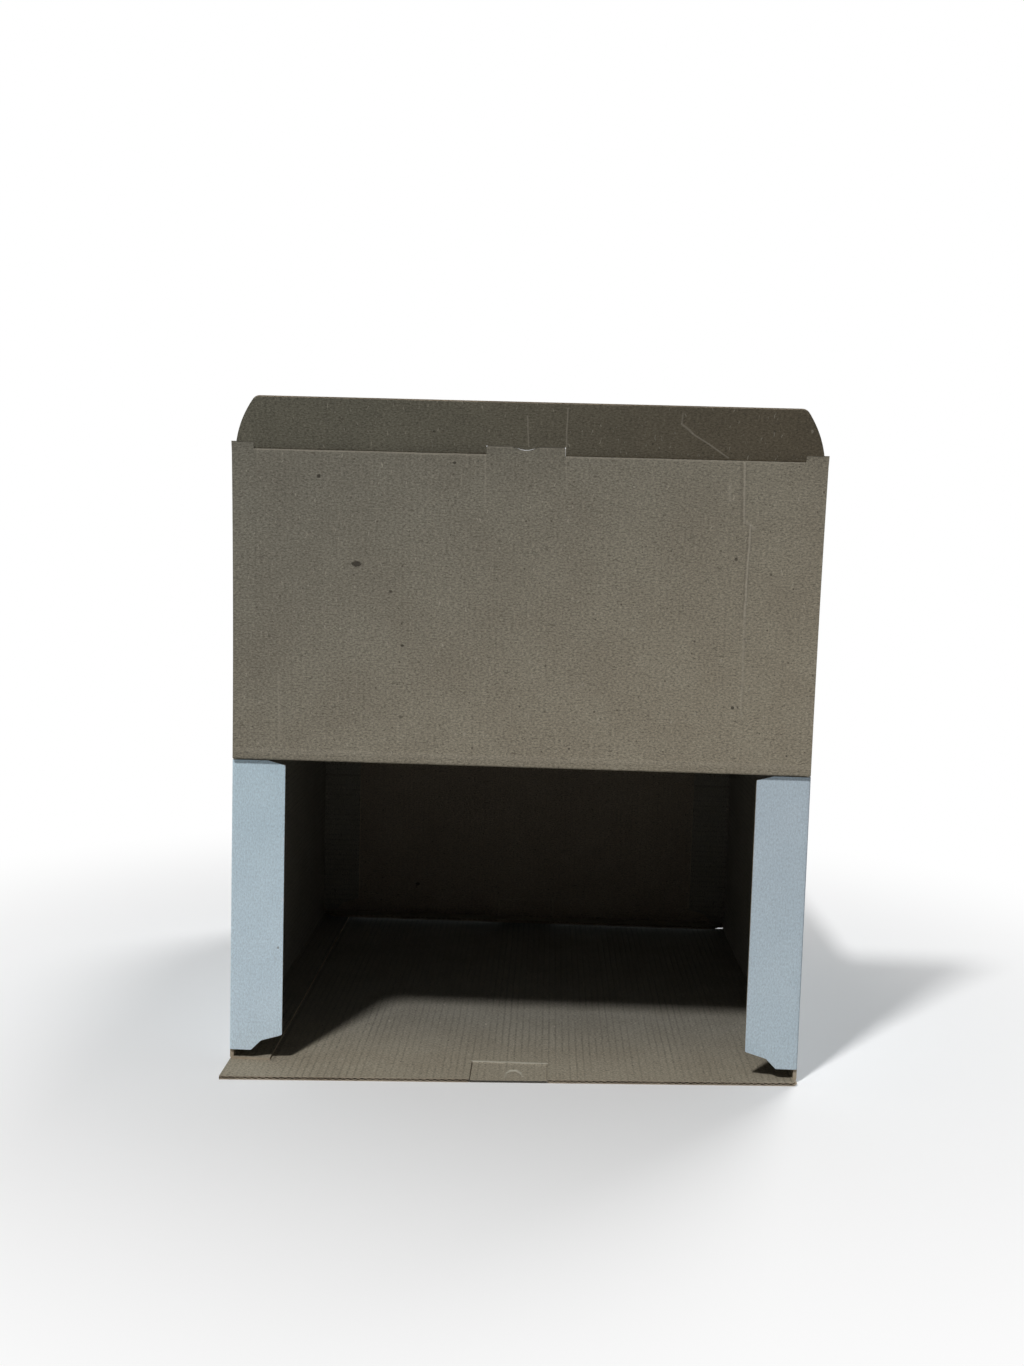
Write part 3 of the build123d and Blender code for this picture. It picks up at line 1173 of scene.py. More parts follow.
@dataclass
class Effects:
    """The node groups that the finishes share.

    Attributes:
        board: The board, for the flutes' pitch.
        cloud_scale: The scale of the clouds of tone.
        grain_scale: The scale of the fine grain.
        twist_scale: The scale of the noise that twists the fibres.
        twist: How far it moves them.
        speck_scale: The scale of the pattern that scatters the specks.
    """

    board: Board = field(default_factory=Board)
    cloud_scale: float = 34.0
    grain_scale: float = 1150.0
    twist_scale: float = 420.0
    twist: float = 2.2 * MM
    speck_scale: float = 95.0

    def __post_init__(self) -> None:
        """Builds every group once."""
        self.paper = self._paper()
        self.flutes = self._flutes()
        self.spot = self._spot()
        self.stroke = self._stroke()

    def _paper(self) -> Group:
        """Paper: clouds of tone, fine grain, short dark and light fibres, and specks.

        The fibres are thin islands of a noise that is stretched one way and twisted by
        another noise. The specks are round, one to each cell of a Voronoi pattern, and a few
        are large.

        Returns:
            The group.
        """
        outputs = ("Clouds", "Grain", "Dark Fibres", "Light Fibres", "Specks")
        group = Group("paper", ("Offset",), outputs)
        net = group.net
        place = net.vector("ADD", net.sheet(), group.given["Offset"])
        laid = net.vector("MULTIPLY", place, (0.75, 1.3, 1.0))
        bent = net.vector("MULTIPLY", net.twist(place, self.twist_scale), (self.twist, self.twist, 0.0))
        moved = net.vector("ADD", place, bent)
        across = net.vector("MULTIPLY", moved, (260.0, 1500.0, 900.0))
        upright = net.vector("MULTIPLY", moved, (1300.0, 330.0, 900.0))
        inputs = {"Vector": place, "Scale": self.speck_scale}
        cells = net.node("ShaderNodeTexVoronoi", inputs, voronoi_dimensions="2D").outputs
        chance = net.node("ShaderNodeSeparateColor", {0: cells["Color"]}).outputs[0]
        radius = net.math("MULTIPLY_ADD", net.math("POWER", chance, 4.0), 0.030, 0.024)
        near = net.math("DIVIDE", cells["Distance"], radius)
        results = (
            net.noise(place, self.cloud_scale, 4.0, 0.6),
            net.noise(laid, self.grain_scale, 4.0, 0.75),
            net.step(net.noise(across, 1.0, 1.0), 0.68, 0.75),
            net.step(net.noise(upright, 1.0, 1.0), 0.70, 0.77),
            net.step(near, 0.6, 1.1, 1.0, 0.0),
        )
        for title, result in zip(outputs, results):
            net.feed(group.result[title], result)
        return group

    def _flutes(self) -> Group:
        """The flutes telegraphed through a liner: narrow hollows at their pitch.

        The hollows are the sixth power of a raised sine, and their strength wanders.

        Returns:
            The group.
        """
        group = Group("flutes", ("Offset",), ("Ripple",))
        net = group.net
        place = net.sheet()
        across = net.node("ShaderNodeSeparateXYZ", {0: place}).outputs[0]
        moved = net.vector("ADD", place, group.given["Offset"])
        drift = net.around(net.noise(moved, 30.0), 1.2, 0.0)
        phase = net.math("MULTIPLY_ADD", across, 2 * math.pi / self.board.pitch, drift)
        raised = net.math("MULTIPLY_ADD", net.math("SINE", phase), 0.5, 0.5)
        wave = net.math("MULTIPLY_ADD", net.math("POWER", raised, 6.0), -2.0, 0.45)
        patch = net.vector("MULTIPLY", moved, (1.0, 0.25, 1.0))
        strength = net.step(net.noise(patch, 60.0), 0.35, 0.7, 0.25, 1.0)
        net.feed(group.result["Ripple"], net.math("MULTIPLY", wave, strength))
        return group

    def _spot(self) -> Group:
        """A ragged oval stain: 1 well inside its rim, 0 outside it.

        Returns:
            The group.
        """
        group = Group("spot", ("Centre", "Half Size"), ("Mask",))
        net = group.net
        away = net.vector("SUBTRACT", net.sheet(), group.given["Centre"])
        flat = net.vector("MULTIPLY", away, (1.0, 1.0, 0.0))
        scaled = net.vector("DIVIDE", flat, group.given["Half Size"])
        reach = net.around(net.noise(net.sheet(), 900.0), 0.9, net.length(scaled))
        net.feed(group.result["Mask"], net.step(reach, 0.75, 1.15, 1.0, 0.0))
        return group

    def _stroke(self) -> Group:
        """A soft, slightly wavering line between two points: 1 on it, 0 past its half width.

        Returns:
            The group.
        """
        group = Group("stroke", ("From", "To"), ("Mask",), ("Half Width",))
        net = group.net
        start = group.given["From"]
        run = net.vector("SUBTRACT", group.given["To"], start)
        waver = net.vector("SUBTRACT", net.twist(net.sheet(), 150.0), (0.5, 0.5, 0.5))
        shaken = net.vector("MULTIPLY", waver, (0.8 * MM, 0.8 * MM, 0.0))
        flat = net.vector("MULTIPLY", net.vector("SUBTRACT", net.sheet(), start), (1.0, 1.0, 0.0))
        away = net.vector("ADD", flat, shaken)
        share = net.math("DIVIDE", net.dot(away, run), net.dot(run, run), clamp=True)
        scaled = net.node("ShaderNodeVectorMath", {0: run, "Scale": share}, operation="SCALE")
        distance = net.length(net.vector("SUBTRACT", away, scaled.outputs[0]))
        width = net.math("DIVIDE", distance, group.given["Half Width"])
        net.feed(group.result["Mask"], net.step(width, 0.2, 1.0, 1.0, 0.0))
        return group


TAR: Colour = (0.030, 0.024, 0.018, 1.0)
# Pale tint of real creases and cuts, also used for painted highlights along the lid's crease and tab.
PALE_CREASE_AND_HIGHLIGHT: Colour = (0.40, 0.36, 0.29, 1.0)
SHADE: Colour = (0.10, 0.085, 0.065, 1.0)
# Pale tint of the real scuff on the tongue, also the painted highlight along the tongue's crease.
SCUFF_AND_HIGHLIGHT: Colour = (0.60, 0.57, 0.47, 1.0)
CHALK: Colour = (0.75, 0.82, 0.86, 1.0)
DUST: Colour = (0.16, 0.15, 0.13, 1.0)
EDGE_SHADE: Colour = (0.15, 0.155, 0.15, 1.0)


@dataclass(frozen=True)
class Spot:
    """A stain on one face, in millimetres on the sheet.

    Attributes:
        u: Its middle, across the flutes.
        v: Its middle, along them.
        half_u: Half its size across the flutes.
        half_v: Half its size along them.
        colour: What it is tinted with.
        strength: How strongly it is tinted.
        lift: How far it stands up from the face.
    """

    u: float
    v: float
    half_u: float
    half_v: float
    colour: Colour = TAR
    strength: float = 0.85
    lift: float = 0.0

    def mask(self, net: Net, effects: Effects) -> Socket:
        """Adds the stain to a material.

        Args:
            net: The material's nodes.
            effects: The shared node groups.

        Returns:
            The stain's mask.
        """
        size = (self.half_u * MM, self.half_v * MM, 1.0)
        inputs = {"Centre": (self.u * MM, self.v * MM, 0), "Half Size": size}
        return effects.spot.use(net, inputs)["Mask"]


@dataclass(frozen=True)
class Stroke:
    """A line on one face, in millimetres on the sheet: mostly creases, cuts and scratches, and some painted
    highlights and painted shade along edges and ridges.

    Attributes:
        start: Its first end, u and v.
        end: Its other end.
        half_width: From its middle to where it fades out.
        colour: What it is tinted with.
        strength: How strongly it is tinted.
        lift: How far it stands up from the face, or sinks below zero.
    """

    start: Pair
    end: Pair
    half_width: float
    colour: Colour
    strength: float
    lift: float = 0.0

    def mask(self, net: Net, effects: Effects) -> Socket:
        """Adds the line to a material.

        Args:
            net: The material's nodes.
            effects: The shared node groups.

        Returns:
            The line's mask.
        """
        ends = {"From": self.start, "To": self.end}
        inputs = {key: (u * MM, v * MM, 0.0) for key, (u, v) in ends.items()}
        return effects.stroke.use(net, {**inputs, "Half Width": self.half_width * MM})["Mask"]


@dataclass(frozen=True)
class PaperFinish:
    """One face of the board.

    Attributes:
        dark: The colour in the darker clouds.
        light: The colour in the lighter clouds.
        dark_fibre: The colour and strength, in its last number, of the dark fibres.
        light_fibre: The colour and strength of the light fibres.
        grain: How strongly the fine grain darkens and lightens.
        ripple: How strongly the flutes show as light and dark lines.
        relief: The height of the flutes under the paper.
        tooth: The height of the grain.
        roughness: The paper's roughness.
        speck: The strength of the specks, in the dark fibres' colour.
        painted_light_start_tint: The painted light and shade's tint at one end of a sheet.
        painted_light_end_tint: Its tint at the other end.
    """

    dark: Colour
    light: Colour
    dark_fibre: Colour
    light_fibre: Colour
    grain: float
    ripple: float
    relief: float
    tooth: float
    roughness: float
    speck: float = 0.0
    # Painted light and shade: the tints at the two ends of a slow lightening and darkening across a sheet.
    painted_light_start_tint: Colour = (0.80, 0.83, 0.88, 1.0)
    painted_light_end_tint: Colour = (1.14, 1.12, 1.08, 1.0)

    def material(
        self,
        name: str,
        effects: Effects,
        offset: Triple = (0.0, 0.0, 0.0),
        marks: Sequence[Union[Spot, Stroke]] = (),
        drift: Optional[Triple] = None,
    ) -> Material:
        """Makes the face's material.

        Args:
            name: The material's name.
            effects: The shared node groups.
            offset: Moves the paper's pattern, so that no two pieces match.
            marks: Spots and strokes on this face.
            drift: How the painted light and shade runs: its slope over u, its slope over v and
            its value at the sheet's origin. It goes from -1 to 1.

        Returns:
            The material.
        """
        material = bpy.data.materials.new(name)
        material.use_nodes = True
        net = Net(material.node_tree)
        shader = material.node_tree.nodes["Principled BSDF"]
        paper = effects.paper.use(net, {"Offset": offset})
        ripple = effects.flutes.use(net, {"Offset": offset})["Ripple"]
        colour = self._paper_colour(net, paper, ripple, drift)
        height = net.math("MULTIPLY", ripple, self.relief)
        height = net.math("MULTIPLY_ADD", paper["Grain"], self.tooth, height)
        for mark in marks:
            mask = mark.mask(net, effects)
            colour = net.mix(net.math("MULTIPLY", mask, mark.strength), colour, mark.colour)
            if mark.lift:
                height = net.math("MULTIPLY_ADD", mask, mark.lift * MM, height)
        bump = net.node("ShaderNodeBump", {"Height": height, "Distance": 1.0, "Strength": 1.0})
        net.feed(shader.inputs["Base Color"], colour)
        net.feed(shader.inputs["Roughness"], net.around(paper["Grain"], 0.1, self.roughness))
        net.feed(shader.inputs["Normal"], bump.outputs[0])
        shader.inputs["Specular IOR Level"].default_value = 0.3
        return material

    def _paper_colour(
        self, net: Net, paper: bpy.types.NodeOutputs, ripple: Socket, drift: Optional[Triple]
    ) -> Socket:
        """The paper's colour before any mark, with its painted light and shade if a drift is given.

        Args:
            net: The material's nodes.
            paper: The outputs of the paper group.
            ripple: The output of the flutes group.
            drift: How the painted light and shade runs, if there is any.

        Returns:
            The colour.
        """
        colour = net.mix(net.step(paper["Clouds"], 0.32, 0.68), self.dark, self.light)
        # Painted light and shade: a slow tint across the sheet.
        if drift:
            lean = net.dot(net.sheet(), (drift[0], drift[1], 0.0))
            share = net.step(net.math("ADD", lean, drift[2]), -1.0, 1.0)
            tint = net.mix(share, self.painted_light_start_tint, self.painted_light_end_tint)
            colour = net.mix(1.0, colour, tint, "MULTIPLY")
        tone = net.math("MULTIPLY_ADD", ripple, self.ripple, net.around(paper["Grain"], self.grain))
        grey = net.node("ShaderNodeCombineColor", {0: tone, 1: tone, 2: tone}).outputs[0]
        colour = net.mix(1.0, colour, grey, "MULTIPLY")
        dark = net.math("MULTIPLY", paper["Dark Fibres"], self.dark_fibre[3])
        dark = net.math("MULTIPLY_ADD", paper["Specks"], self.speck, dark, clamp=True)
        colour = net.mix(dark, colour, (*self.dark_fibre[:3], 1.0))
        light = net.math("MULTIPLY", paper["Light Fibres"], self.light_fibre[3])
        return net.mix(light, colour, (*self.light_fibre[:3], 1.0))


KRAFT = PaperFinish(
    dark=(0.250, 0.224, 0.174, 1.0),
    light=(0.278, 0.252, 0.198, 1.0),
    dark_fibre=(0.10, 0.085, 0.065, 0.62),
    light_fibre=(0.46, 0.42, 0.34, 0.46),
    grain=2.8,
    ripple=0.035,
    relief=0.010 * MM,
    tooth=0.11 * MM,
    roughness=0.86,
    speck=0.9,
)
TUBE_KRAFT = replace(KRAFT, ripple=0.16, relief=0.022 * MM)
# The lid's kraft, with painted shade that is darker and cooler to the top left and painted light that is
# lighter and warmer to the bottom right.
LID_KRAFT_PAINTED_LIGHT = replace(
    KRAFT,
    dark=(0.258, 0.231, 0.180, 1.0),
    light=(0.286, 0.260, 0.204, 1.0),
    painted_light_start_tint=(0.66, 0.68, 0.69, 1.0),
    painted_light_end_tint=(1.15, 1.12, 1.07, 1.0),
)
# The tuck flap's kraft: the lid's board darkened all over with painted shade, and darker and warmer towards
# the right.
SHADED_TUCK_KRAFT = replace(
    KRAFT,
    dark=(0.157, 0.147, 0.110, 1.0),
    light=(0.180, 0.168, 0.126, 1.0),
    painted_light_start_tint=(1.02, 1.02, 1.02, 1.0),
    painted_light_end_tint=(0.80, 0.71, 0.64, 1.0),
)
REAR_KRAFT = replace(KRAFT, dark=(0.262, 0.220, 0.172, 1.0), light=(0.290, 0.246, 0.192, 1.0))
WHITE = PaperFinish(
    dark=(0.558, 0.679, 0.748, 1.0),
    light=(0.590, 0.712, 0.780, 1.0),
    dark_fibre=(0.38, 0.43, 0.46, 0.22),
    light_fibre=(0.70, 0.80, 0.86, 0.25),
    grain=0.98,
    ripple=0.008,
    relief=0.006 * MM,
    tooth=0.05 * MM,
    roughness=0.55,
)
# The left dust flap's white face: a lighter copy of WHITE as painted light, with painted shade darker
# towards its top.
LEFT_WHITE_PAINTED_LIGHT = replace(
    WHITE,
    dark=(0.622, 0.724, 0.824, 1.0),
    light=(0.658, 0.760, 0.860, 1.0),
    painted_light_start_tint=(0.86, 0.92, 0.90, 1.0),
    painted_light_end_tint=(1.12, 1.15, 1.12, 1.0),
)
# The right dust flap's white face, with painted shade darker towards its top.
RIGHT_WHITE_PAINTED_SHADE = replace(WHITE, painted_light_start_tint=(0.95, 0.92, 0.93, 1.0), painted_light_end_tint=(1.10, 1.08, 1.08, 1.0))
RAW = PaperFinish(
    dark=(0.235, 0.19, 0.135, 1.0),
    light=(0.36, 0.30, 0.22, 1.0),
    dark_fibre=(0.11, 0.085, 0.06, 0.5),
    light_fibre=(0.50, 0.45, 0.36, 0.4),
    grain=0.5,
    ripple=0.0,
    relief=0.0,
    tooth=0.03 * MM,
    roughness=0.9,
)
TUBE_RAW = replace(RAW, dark=(0.37, 0.30, 0.22, 1.0), light=(0.54, 0.46, 0.35, 1.0))

# Stains and creases on the lid, with painted shadow beside a raised imprint and painted highlights along its
# crease and its tab's top edge.
LID_MARKS_AND_PAINTED_LIGHT = (
    Spot(-72.8, 86.1, 2.1, 1.35, TAR),
    Spot(-89.3, 123.1, 0.85, 0.8, TAR),
    Spot(-57.9, 74.7, 0.7, 0.6, TAR, 0.75),
    Spot(-52.6, 51.3, 0.75, 0.65, TAR, 0.75),
    Spot(-31.3, 130.2, 0.8, 0.6, TAR, 0.8),
    Spot(89.7, 92.5, 0.75, 0.8, TAR, 0.75),
    Spot(91.2, 28.4, 0.75, 0.8, TAR, 0.8),
    # Painted shadow: the dark strokes beside the pale raised imprint.
    Stroke((90.2, 133.0), (91.4, 107.8), 0.9, SHADE, 0.30, -0.05),
    Stroke((91.3, 133.0), (92.5, 107.8), 0.8, PALE_CREASE_AND_HIGHLIGHT, 0.42, 0.16),
    Stroke((94.3, 106.6), (93.8, 68.1), 0.8, SHADE, 0.25, -0.05),
    Stroke((95.2, 106.6), (94.7, 68.1), 0.8, PALE_CREASE_AND_HIGHLIGHT, 0.50, 0.16),
    Stroke((94.7, 68.1), (95.2, 24.7), 0.8, PALE_CREASE_AND_HIGHLIGHT, 0.28, 0.10),
    Stroke((93.6, 108.2), (97.0, 105.6), 0.9, PALE_CREASE_AND_HIGHLIGHT, 0.45, 0.10),
    Stroke((85.6, 124.4), (85.9, 117.2), 1.1, PALE_CREASE_AND_HIGHLIGHT, 0.30, 0.06),
    Stroke((-106.5, 36.9), (-105.9, 8.0), 0.7, PALE_CREASE_AND_HIGHLIGHT, 0.22, 0.05),
    Stroke((-18.4, 134.0), (-18.0, 112.9), 0.6, PALE_CREASE_AND_HIGHLIGHT, 0.26, 0.06),
    Stroke((16.0, 134.0), (16.6, 119.7), 0.6, PALE_CREASE_AND_HIGHLIGHT, 0.18, 0.05),
    Stroke((-126.0, 3.0), (126.0, 3.0), 1.8, PALE_CREASE_AND_HIGHLIGHT, 0.10, 0.10),
    # Painted highlights along the lid's crease and the tab's top edge.
    Stroke((-117.0, 133.75), (-18.2, 133.75), 0.55, PALE_CREASE_AND_HIGHLIGHT, 0.42),
    Stroke((16.0, 133.75), (117.0, 133.75), 0.55, PALE_CREASE_AND_HIGHLIGHT, 0.34),
    Stroke((-17.2, 137.4), (-7.0, 137.4), 0.6, PALE_CREASE_AND_HIGHLIGHT, 0.40),
    Stroke((4.6, 137.4), (14.8, 137.4), 0.6, PALE_CREASE_AND_HIGHLIGHT, 0.36),
)
TUCK_MARKS = (
    Stroke((-0.8, 16.5), (0.0, 3.4), 0.5, PALE_CREASE_AND_HIGHLIGHT, 0.40, 0.06),
    Stroke((15.9, 20.5), (15.8, 0.0), 0.5, PALE_CREASE_AND_HIGHLIGHT, 0.40, 0.06),
    Stroke((63.5, 15.0), (68.5, 11.0), 0.7, PALE_CREASE_AND_HIGHLIGHT, 0.42, 0.05),
    Stroke((68.5, 11.0), (84.2, 0.6), 0.5, PALE_CREASE_AND_HIGHLIGHT, 0.50, 0.05),
    Stroke((63.6, 19.5), (63.5, 15.2), 0.6, PALE_CREASE_AND_HIGHLIGHT, 0.30, 0.04),
    Spot(-40.0, 9.0, 0.6, 0.5, TAR, 0.6),
    Spot(52.0, 6.0, 0.5, 0.6, TAR, 0.6),
)
# Stains and a scuff on the tube's brown side, with a painted highlight along the tongue's crease and painted
# shade lines.
TUBE_MARKS_AND_PAINTED_LIGHT = (
    # Painted highlight along the tongue's crease.
    Stroke((108.8, -117.8), (142.8, -117.4), 0.9, SCUFF_AND_HIGHLIGHT, 0.70, 0.12),
    Stroke((124.1, -135.7), (125.0, -129.1), 0.8, SCUFF_AND_HIGHLIGHT, 0.22, 0.10),
    Stroke((125.0, -129.1), (126.7, -126.4), 1.0, SCUFF_AND_HIGHLIGHT, 0.50, 0.12),
    Stroke((126.7, -126.4), (128.9, -126.1), 1.6, SCUFF_AND_HIGHLIGHT, 0.80, 0.12),
    Stroke((128.9, -126.1), (131.2, -129.0), 1.1, SCUFF_AND_HIGHLIGHT, 0.60, 0.12),
    Stroke((131.2, -129.0), (132.2, -133.3), 0.8, SCUFF_AND_HIGHLIGHT, 0.25, 0.10),
    Stroke((125.8, -129.6), (130.4, -129.2), 0.7, SHADE, 0.25, -0.06),
    # Painted shade beside the glue flap's edge.
    Stroke((19.4, -126.0), (19.4, 126.0), 1.3, SHADE, 0.35, -0.05),
    Spot(33.9, -78.0, 0.5, 0.7, TAR, 0.6),
    Spot(96.0, -92.0, 0.5, 0.5, TAR, 0.5),
    Spot(171.0, -64.0, 0.5, 0.6, TAR, 0.5),
)
# Painted shade darkening the tongue's front cut edge.
TUBE_EDGE_PAINTED_SHADE = (Stroke((109.2, -139.1), (142.4, -136.9), 2.0, EDGE_SHADE, 0.75),)
LEFT_FLAP_MARKS = (
    Spot(31.0, 22.4, 0.6, 0.5, CHALK, 0.8),
    Spot(3.6, 22.3, 0.8, 0.5, CHALK, 0.8),
    Spot(-18.5, 20.5, 0.6, 0.5, DUST, 0.6),
)
REAR_LID_MARKS = (
    Spot(66.8, 115.6, 1.3, 1.1, TAR, 0.85),
    Stroke((15.3, 139.0), (15.3, 124.1), 0.6, PALE_CREASE_AND_HIGHLIGHT, 0.40, 0.08),
    Stroke((-18.4, 139.0), (-18.4, 122.9), 0.6, PALE_CREASE_AND_HIGHLIGHT, 0.40, 0.08),
    Stroke((15.3, 124.1), (-18.4, 122.9), 0.5, PALE_CREASE_AND_HIGHLIGHT, 0.25, 0.05),
)

@dataclass
class Carton:
    """The whole carton, in pieces that each ride a body of their own.

    Attributes:
        effects: The shared node groups.
        front_opened: How far the front lid is turned up, in degrees.
        front_tuck_folded: How far its tuck flap is folded.
        rear_tuck_folded: How far the shut rear lid's tuck flap is folded.
        tab_lean: How far the front lid's tab and shoulders lean inward, for their length.
    """

    effects: Effects
    front_opened: float = 177.0
    front_tuck_folded: float = 22.0
    rear_tuck_folded: float = 98.0
    tab_lean: float = 0.36

    def __post_init__(self) -> None:
        """Makes the materials that several pieces share."""
        self.cut = RAW.material("cut_edge", self.effects)
        self.white = WHITE.material("white_face", self.effects)
        self.kraft = KRAFT.material("kraft_face", self.effects, (0.31, 0.17, 0.0))

    def tube(self) -> Piece:
        """The tube, with the two rear dust flaps.

        Returns:
            The piece.
        """
        strips = [Tube(), DustFlap(-1, End.REAR), DustFlap(1, End.REAR)]
        # Painted light and shade on the tube's brown side: lighter and warmer at the floor's front edge,
        # darker and cooler farther in.
        drift = (0.0, -22.0, -2.0)
        kraft = TUBE_KRAFT.material("tube_kraft", self.effects, (0.47, 0.11, 0.0), TUBE_MARKS_AND_PAINTED_LIGHT, drift)
        cut = TUBE_RAW.material("tube_cut_edge", self.effects, (0.2, 0.0, 0.0), TUBE_EDGE_PAINTED_SHADE)
        return Piece("carton_tube", "carton", "sleeve", strips, kraft, self.white, cut)

    def lid_and_tuck(
        self, lid: Lid, folded: float, lid_kraft: Material, tuck_kraft: Material
    ) -> list[Piece]:
        """A lid and its tuck flap.

        Args:
            lid: The lid.
            folded: How far the tuck flap is folded on it, in degrees.
            lid_kraft: The material of the lid's brown side.
            tuck_kraft: The material of the tuck flap's brown side.

        Returns:
            The two pieces.
        """
        end = lid.end.name.lower()
        body, tuck_body = f"{end}_lid", f"{end}_tuck"
        worn = (self.white, self.cut)
        return [
            Piece(f"lid_{end}", body, body, [lid], lid_kraft, *worn),
            Piece(f"tuck_{end}", tuck_body, f"{tuck_body}_flap", [TuckFlap(lid, folded)], tuck_kraft, *worn),
        ]

    def front(self) -> list[Piece]:
        """The open front lid and its tuck flap.

        Returns:
            The two pieces.
        """
        effects = self.effects
        lid = Lid(End.FRONT, self.front_opened, self.tab_lean)
        # Painted shade and light on the lid: darker to the top left, lighter to the bottom right.
        lid_kraft = LID_KRAFT_PAINTED_LIGHT.material("lid_kraft", effects, marks=LID_MARKS_AND_PAINTED_LIGHT, drift=(4.0, -7.0, 0.47))
        # Painted shade on the tuck flap: darker towards the right.
        offset, drift = (0.13, 0.29, 0.0), (9.0, 0.0, -0.2)
        tuck_kraft = SHADED_TUCK_KRAFT.material("tuck_kraft", effects, offset, TUCK_MARKS, drift)
        return self.lid_and_tuck(lid, self.front_tuck_folded, lid_kraft, tuck_kraft)

    def rear(self) -> list[Piece]:
        """The shut rear lid and its tuck flap.

        Returns:
            The two pieces.
        """
        lid = Lid(End.REAR, opened=0.0, tab_lean=0.0)
        kraft = REAR_KRAFT.material("rear_kraft", self.effects, (0.71, 0.43, 0.0), REAR_LID_MARKS)
        return self.lid_and_tuck(lid, self.rear_tuck_folded, kraft, self.kraft)

    def dust_flaps(self) -> list[Piece]:
        """The two front dust flaps, each with a white face that painted shade darkens towards its top, the
        left one lightened all over with painted light.

        Returns:
            The right flap and the left one.
        """
        # Painted shade: the flaps' faces darken towards their tops.
        drift = (-13.0, 0.0, 0.0)
        right = RIGHT_WHITE_PAINTED_SHADE.material("white_face_right_painted_shade", self.effects, drift=drift)
        offset = (0.37, 0.61, 0.0)
        left = LEFT_WHITE_PAINTED_LIGHT.material("white_face_left_painted_light", self.effects, offset, LEFT_FLAP_MARKS, drift)
        pieces = []
        for side, hand, face in ((1, "right", right), (-1, "left", left)):
            node = f"front_dust_flap_{hand}"
            worn = (self.kraft, face, self.cut, Slot.WHITE)
            pieces.append(Piece(f"dust_flap_{hand}", f"dust_{hand}", node, [DustFlap(side)], *worn))
        return pieces


@dataclass(frozen=True)
class Lamp:
    """A round lamp that looks at the carton's mouth.

    Attributes:
        name: Its name.
        azimuth: Its direction in degrees, from the front towards the left.
        elevation: Its height in degrees.
        size: Its diameter.
        power: Its power in watts.
        distance: From the mouth to the lamp.
        target: The middle of the mouth's top.
    """

    name: str
    azimuth: float
    elevation: float
    size: float
    power: float
    distance: float = 1.7
    target: Triple = (0.0, -0.12, 0.14)

    def add(self) -> None:
        """Adds the lamp to the scene."""
        turn, rise = math.radians(self.azimuth), math.radians(self.elevation)
        flat = math.cos(rise)
        towards = np.array([-math.sin(turn) * flat, -math.cos(turn) * flat, math.sin(rise)])
        side = np.cross((0.0, 0.0, 1.0), towards)
        side /= np.linalg.norm(side)
        back = Matrix((side, np.cross(towards, side), towards)).transposed().to_4x4()
        data = bpy.data.lights.new(self.name, "AREA")
        data.shape = "DISK"
        data.size = self.size
        data.energy = self.power
        lamp = bpy.data.objects.new(self.name, data)
        lamp.matrix_world = Matrix.Translation(np.array(self.target) + towards * self.distance) @ back
        bpy.context.scene.collection.objects.link(lamp)


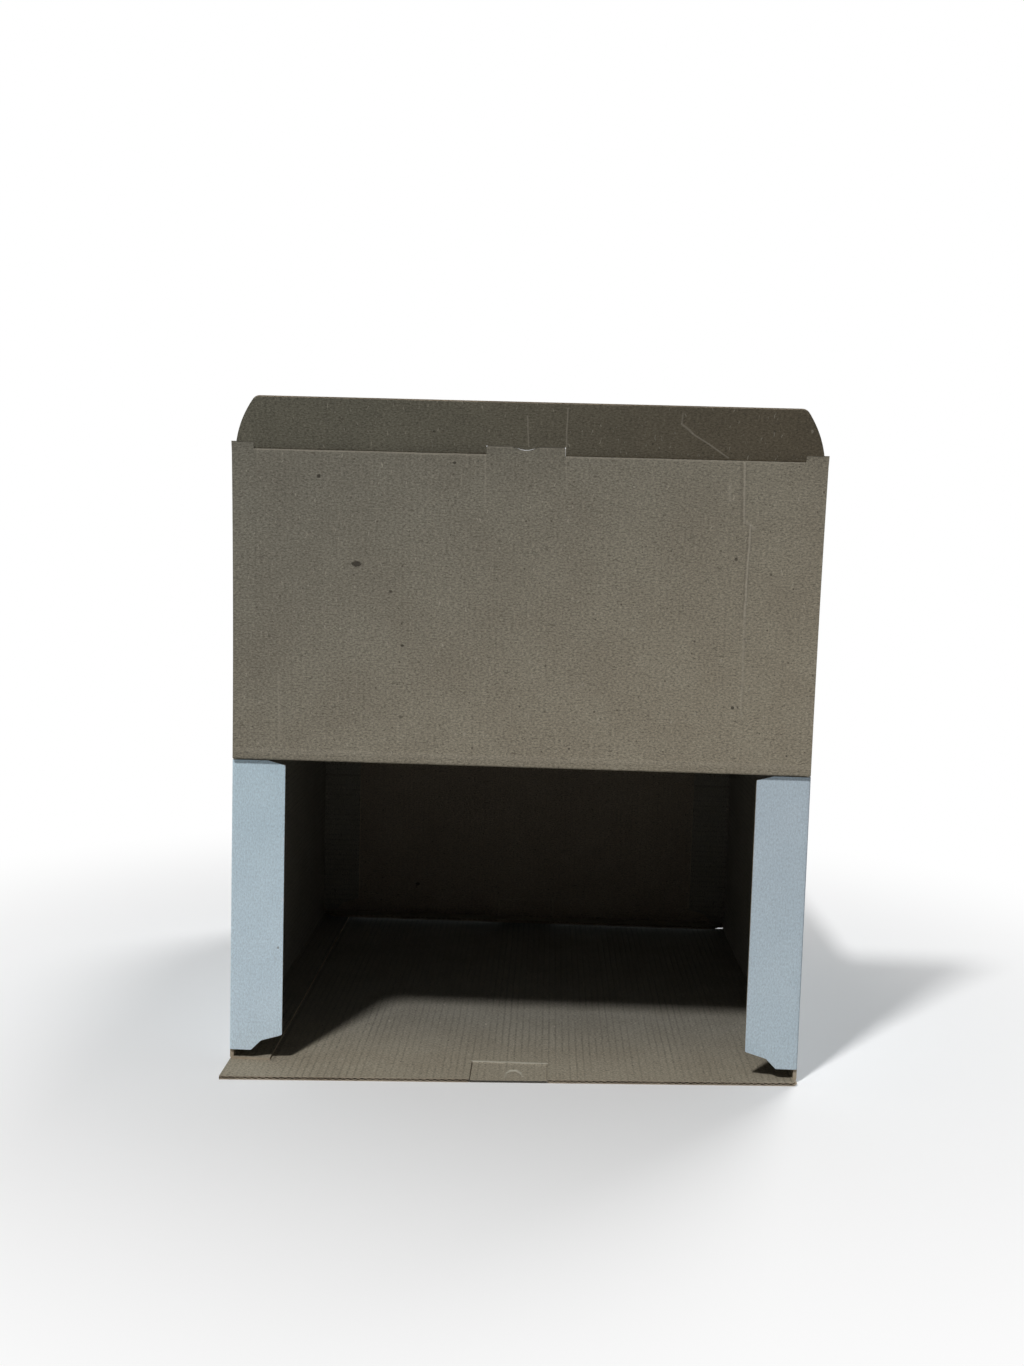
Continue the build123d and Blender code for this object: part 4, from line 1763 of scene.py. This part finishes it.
@dataclass
class Photographer:
    """The camera, the lamps, the floor and the white background.

    The camera's place, tilt and lens come from a fit of the carton's corners to the
    photograph.

    Attributes:
        eye: Where the camera stands.
        pitch: How far it looks down, in degrees.
        roll: How far it leans, in degrees.
        yaw: How far it looks to the right, in degrees.
        focal_pixels: Its focal length, in the photograph's pixels.
        image_width: The photograph's width in pixels.
        sensor_width: The sensor's width in millimetres.
        lamps: The key lamp at the front left and a soft one at the right rear.
        fill: The strength of the world's light.
        fill_colour: Its colour.
        floor_reach: Half the floor's width.
        floor_tones: How bright the floor is to bounced light and to the camera.
        floor_fade: From the middle, where the floor starts and ends its fade to white.
    """

    eye: Triple = (0.0105, -0.7335, 0.2305)
    pitch: float = 5.20
    roll: float = 1.59
    yaw: float = -1.43
    focal_pixels: float = 1396.5
    image_width: float = 1024.0
    sensor_width: float = 36.0
    lamps: tuple[Lamp, ...] = (Lamp("key", 28.7, 51.8, 0.17, 21.5), Lamp("rear", 212.0, 40.0, 0.7, 13.0))
    fill: float = 0.06
    fill_colour: Colour = (0.92, 0.96, 1.0, 1.0)
    floor_reach: float = 6.0
    floor_tones: Pair = (0.50, 0.97)
    floor_fade: Pair = (0.15, 0.48)

    def set_camera(self) -> None:
        """Adds the camera and makes it the scene's own."""
        pitch, roll, yaw = (math.radians(angle) for angle in (self.pitch, self.roll, self.yaw))
        flat = math.cos(pitch)
        ahead = np.array([math.sin(yaw) * flat, math.cos(yaw) * flat, -math.sin(pitch)])
        level = np.array([math.cos(yaw), -math.sin(yaw), 0.0])
        rise = np.cross(level, ahead)
        right = level * math.cos(roll) + rise * math.sin(roll)
        up = rise * math.cos(roll) - level * math.sin(roll)
        data = bpy.data.cameras.new("camera")
        data.sensor_fit = "HORIZONTAL"
        data.sensor_width = self.sensor_width
        data.lens = self.sensor_width * self.focal_pixels / self.image_width
        data.clip_start = 0.01
        camera = bpy.data.objects.new("camera", data)
        turn = Matrix((right, up, -ahead)).transposed().to_4x4()
        camera.matrix_world = Matrix.Translation(self.eye) @ turn
        bpy.context.scene.collection.objects.link(camera)
        bpy.context.scene.camera = camera

    def set_light(self) -> None:
        """Adds the lamps, and a world that is white to the camera and dim to the carton."""
        for lamp in self.lamps:
            lamp.add()
        world = bpy.data.worlds.new("studio")
        bpy.context.scene.world = world
        world.use_nodes = True
        world.node_tree.nodes.clear()
        net = Net(world.node_tree)
        dim = net.node("ShaderNodeBackground", {"Color": self.fill_colour, "Strength": self.fill})
        white = net.node("ShaderNodeBackground", {"Color": (1.0, 1.0, 1.0, 1.0), "Strength": 1.0})
        both = net.node("ShaderNodeMixShader", {0: net.seen(), 1: dim.outputs[0], 2: white.outputs[0]})
        net.node("ShaderNodeOutputWorld", {"Surface": both.outputs[0]})

    def set_floor(self) -> bpy.types.Object:
        """Adds the pale floor, which keeps the shadow and fades to white farther out.

        Returns:
            The floor's object.
        """
        reach = self.floor_reach
        mesh = bpy.data.meshes.new("floor")
        corners = [(-reach, -reach, 0), (reach, -reach, 0), (reach, reach, 0), (-reach, reach, 0)]
        mesh.from_pydata(corners, [], [(0, 1, 2, 3)])
        floor = bpy.data.objects.new("floor", mesh)
        bpy.context.scene.collection.objects.link(floor)
        material = bpy.data.materials.new("floor")
        material.use_nodes = True
        nodes = material.node_tree.nodes
        net = Net(material.node_tree)
        bounced, seen = ((tone, tone, tone, 1.0) for tone in self.floor_tones)
        camera_ray = net.node("ShaderNodeLightPath").outputs["Is Camera Ray"]
        shader = nodes["Principled BSDF"]
        net.feed(shader.inputs["Base Color"], net.mix(camera_ray, bounced, seen))
        shader.inputs["Roughness"].default_value = 0.9
        shader.inputs["Specular IOR Level"].default_value = 0.1
        place = net.node("ShaderNodeTexCoord").outputs["Object"]
        away = net.length(net.vector("MULTIPLY", place, (1.0, 1.0, 0.0)))
        faded = net.math("MULTIPLY", net.step(away, *self.floor_fade), net.seen())
        glow = net.node("ShaderNodeEmission", {"Color": (1.0, 1.0, 1.0, 1.0), "Strength": 1.0})
        both = net.node("ShaderNodeMixShader", {0: faded, 1: shader.outputs[0], 2: glow.outputs[0]})
        net.feed(nodes["Material Output"].inputs["Surface"], both.outputs[0])
        mesh.materials.append(material)
        return floor


def main() -> None:
    """Builds the scene, piece by piece."""
    logging.basicConfig(level=logging.INFO)
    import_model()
    bpy.context.scene.view_settings.view_transform = "Standard"
    photographer = Photographer()
    photographer.set_camera()
    photographer.set_light()
    photographer.set_floor()
    carton = Carton(Effects())
    for piece in [carton.tube(), *carton.front(), *carton.rear(), *carton.dust_flaps()]:
        piece.add()


if __name__ == "__main__":
    main()
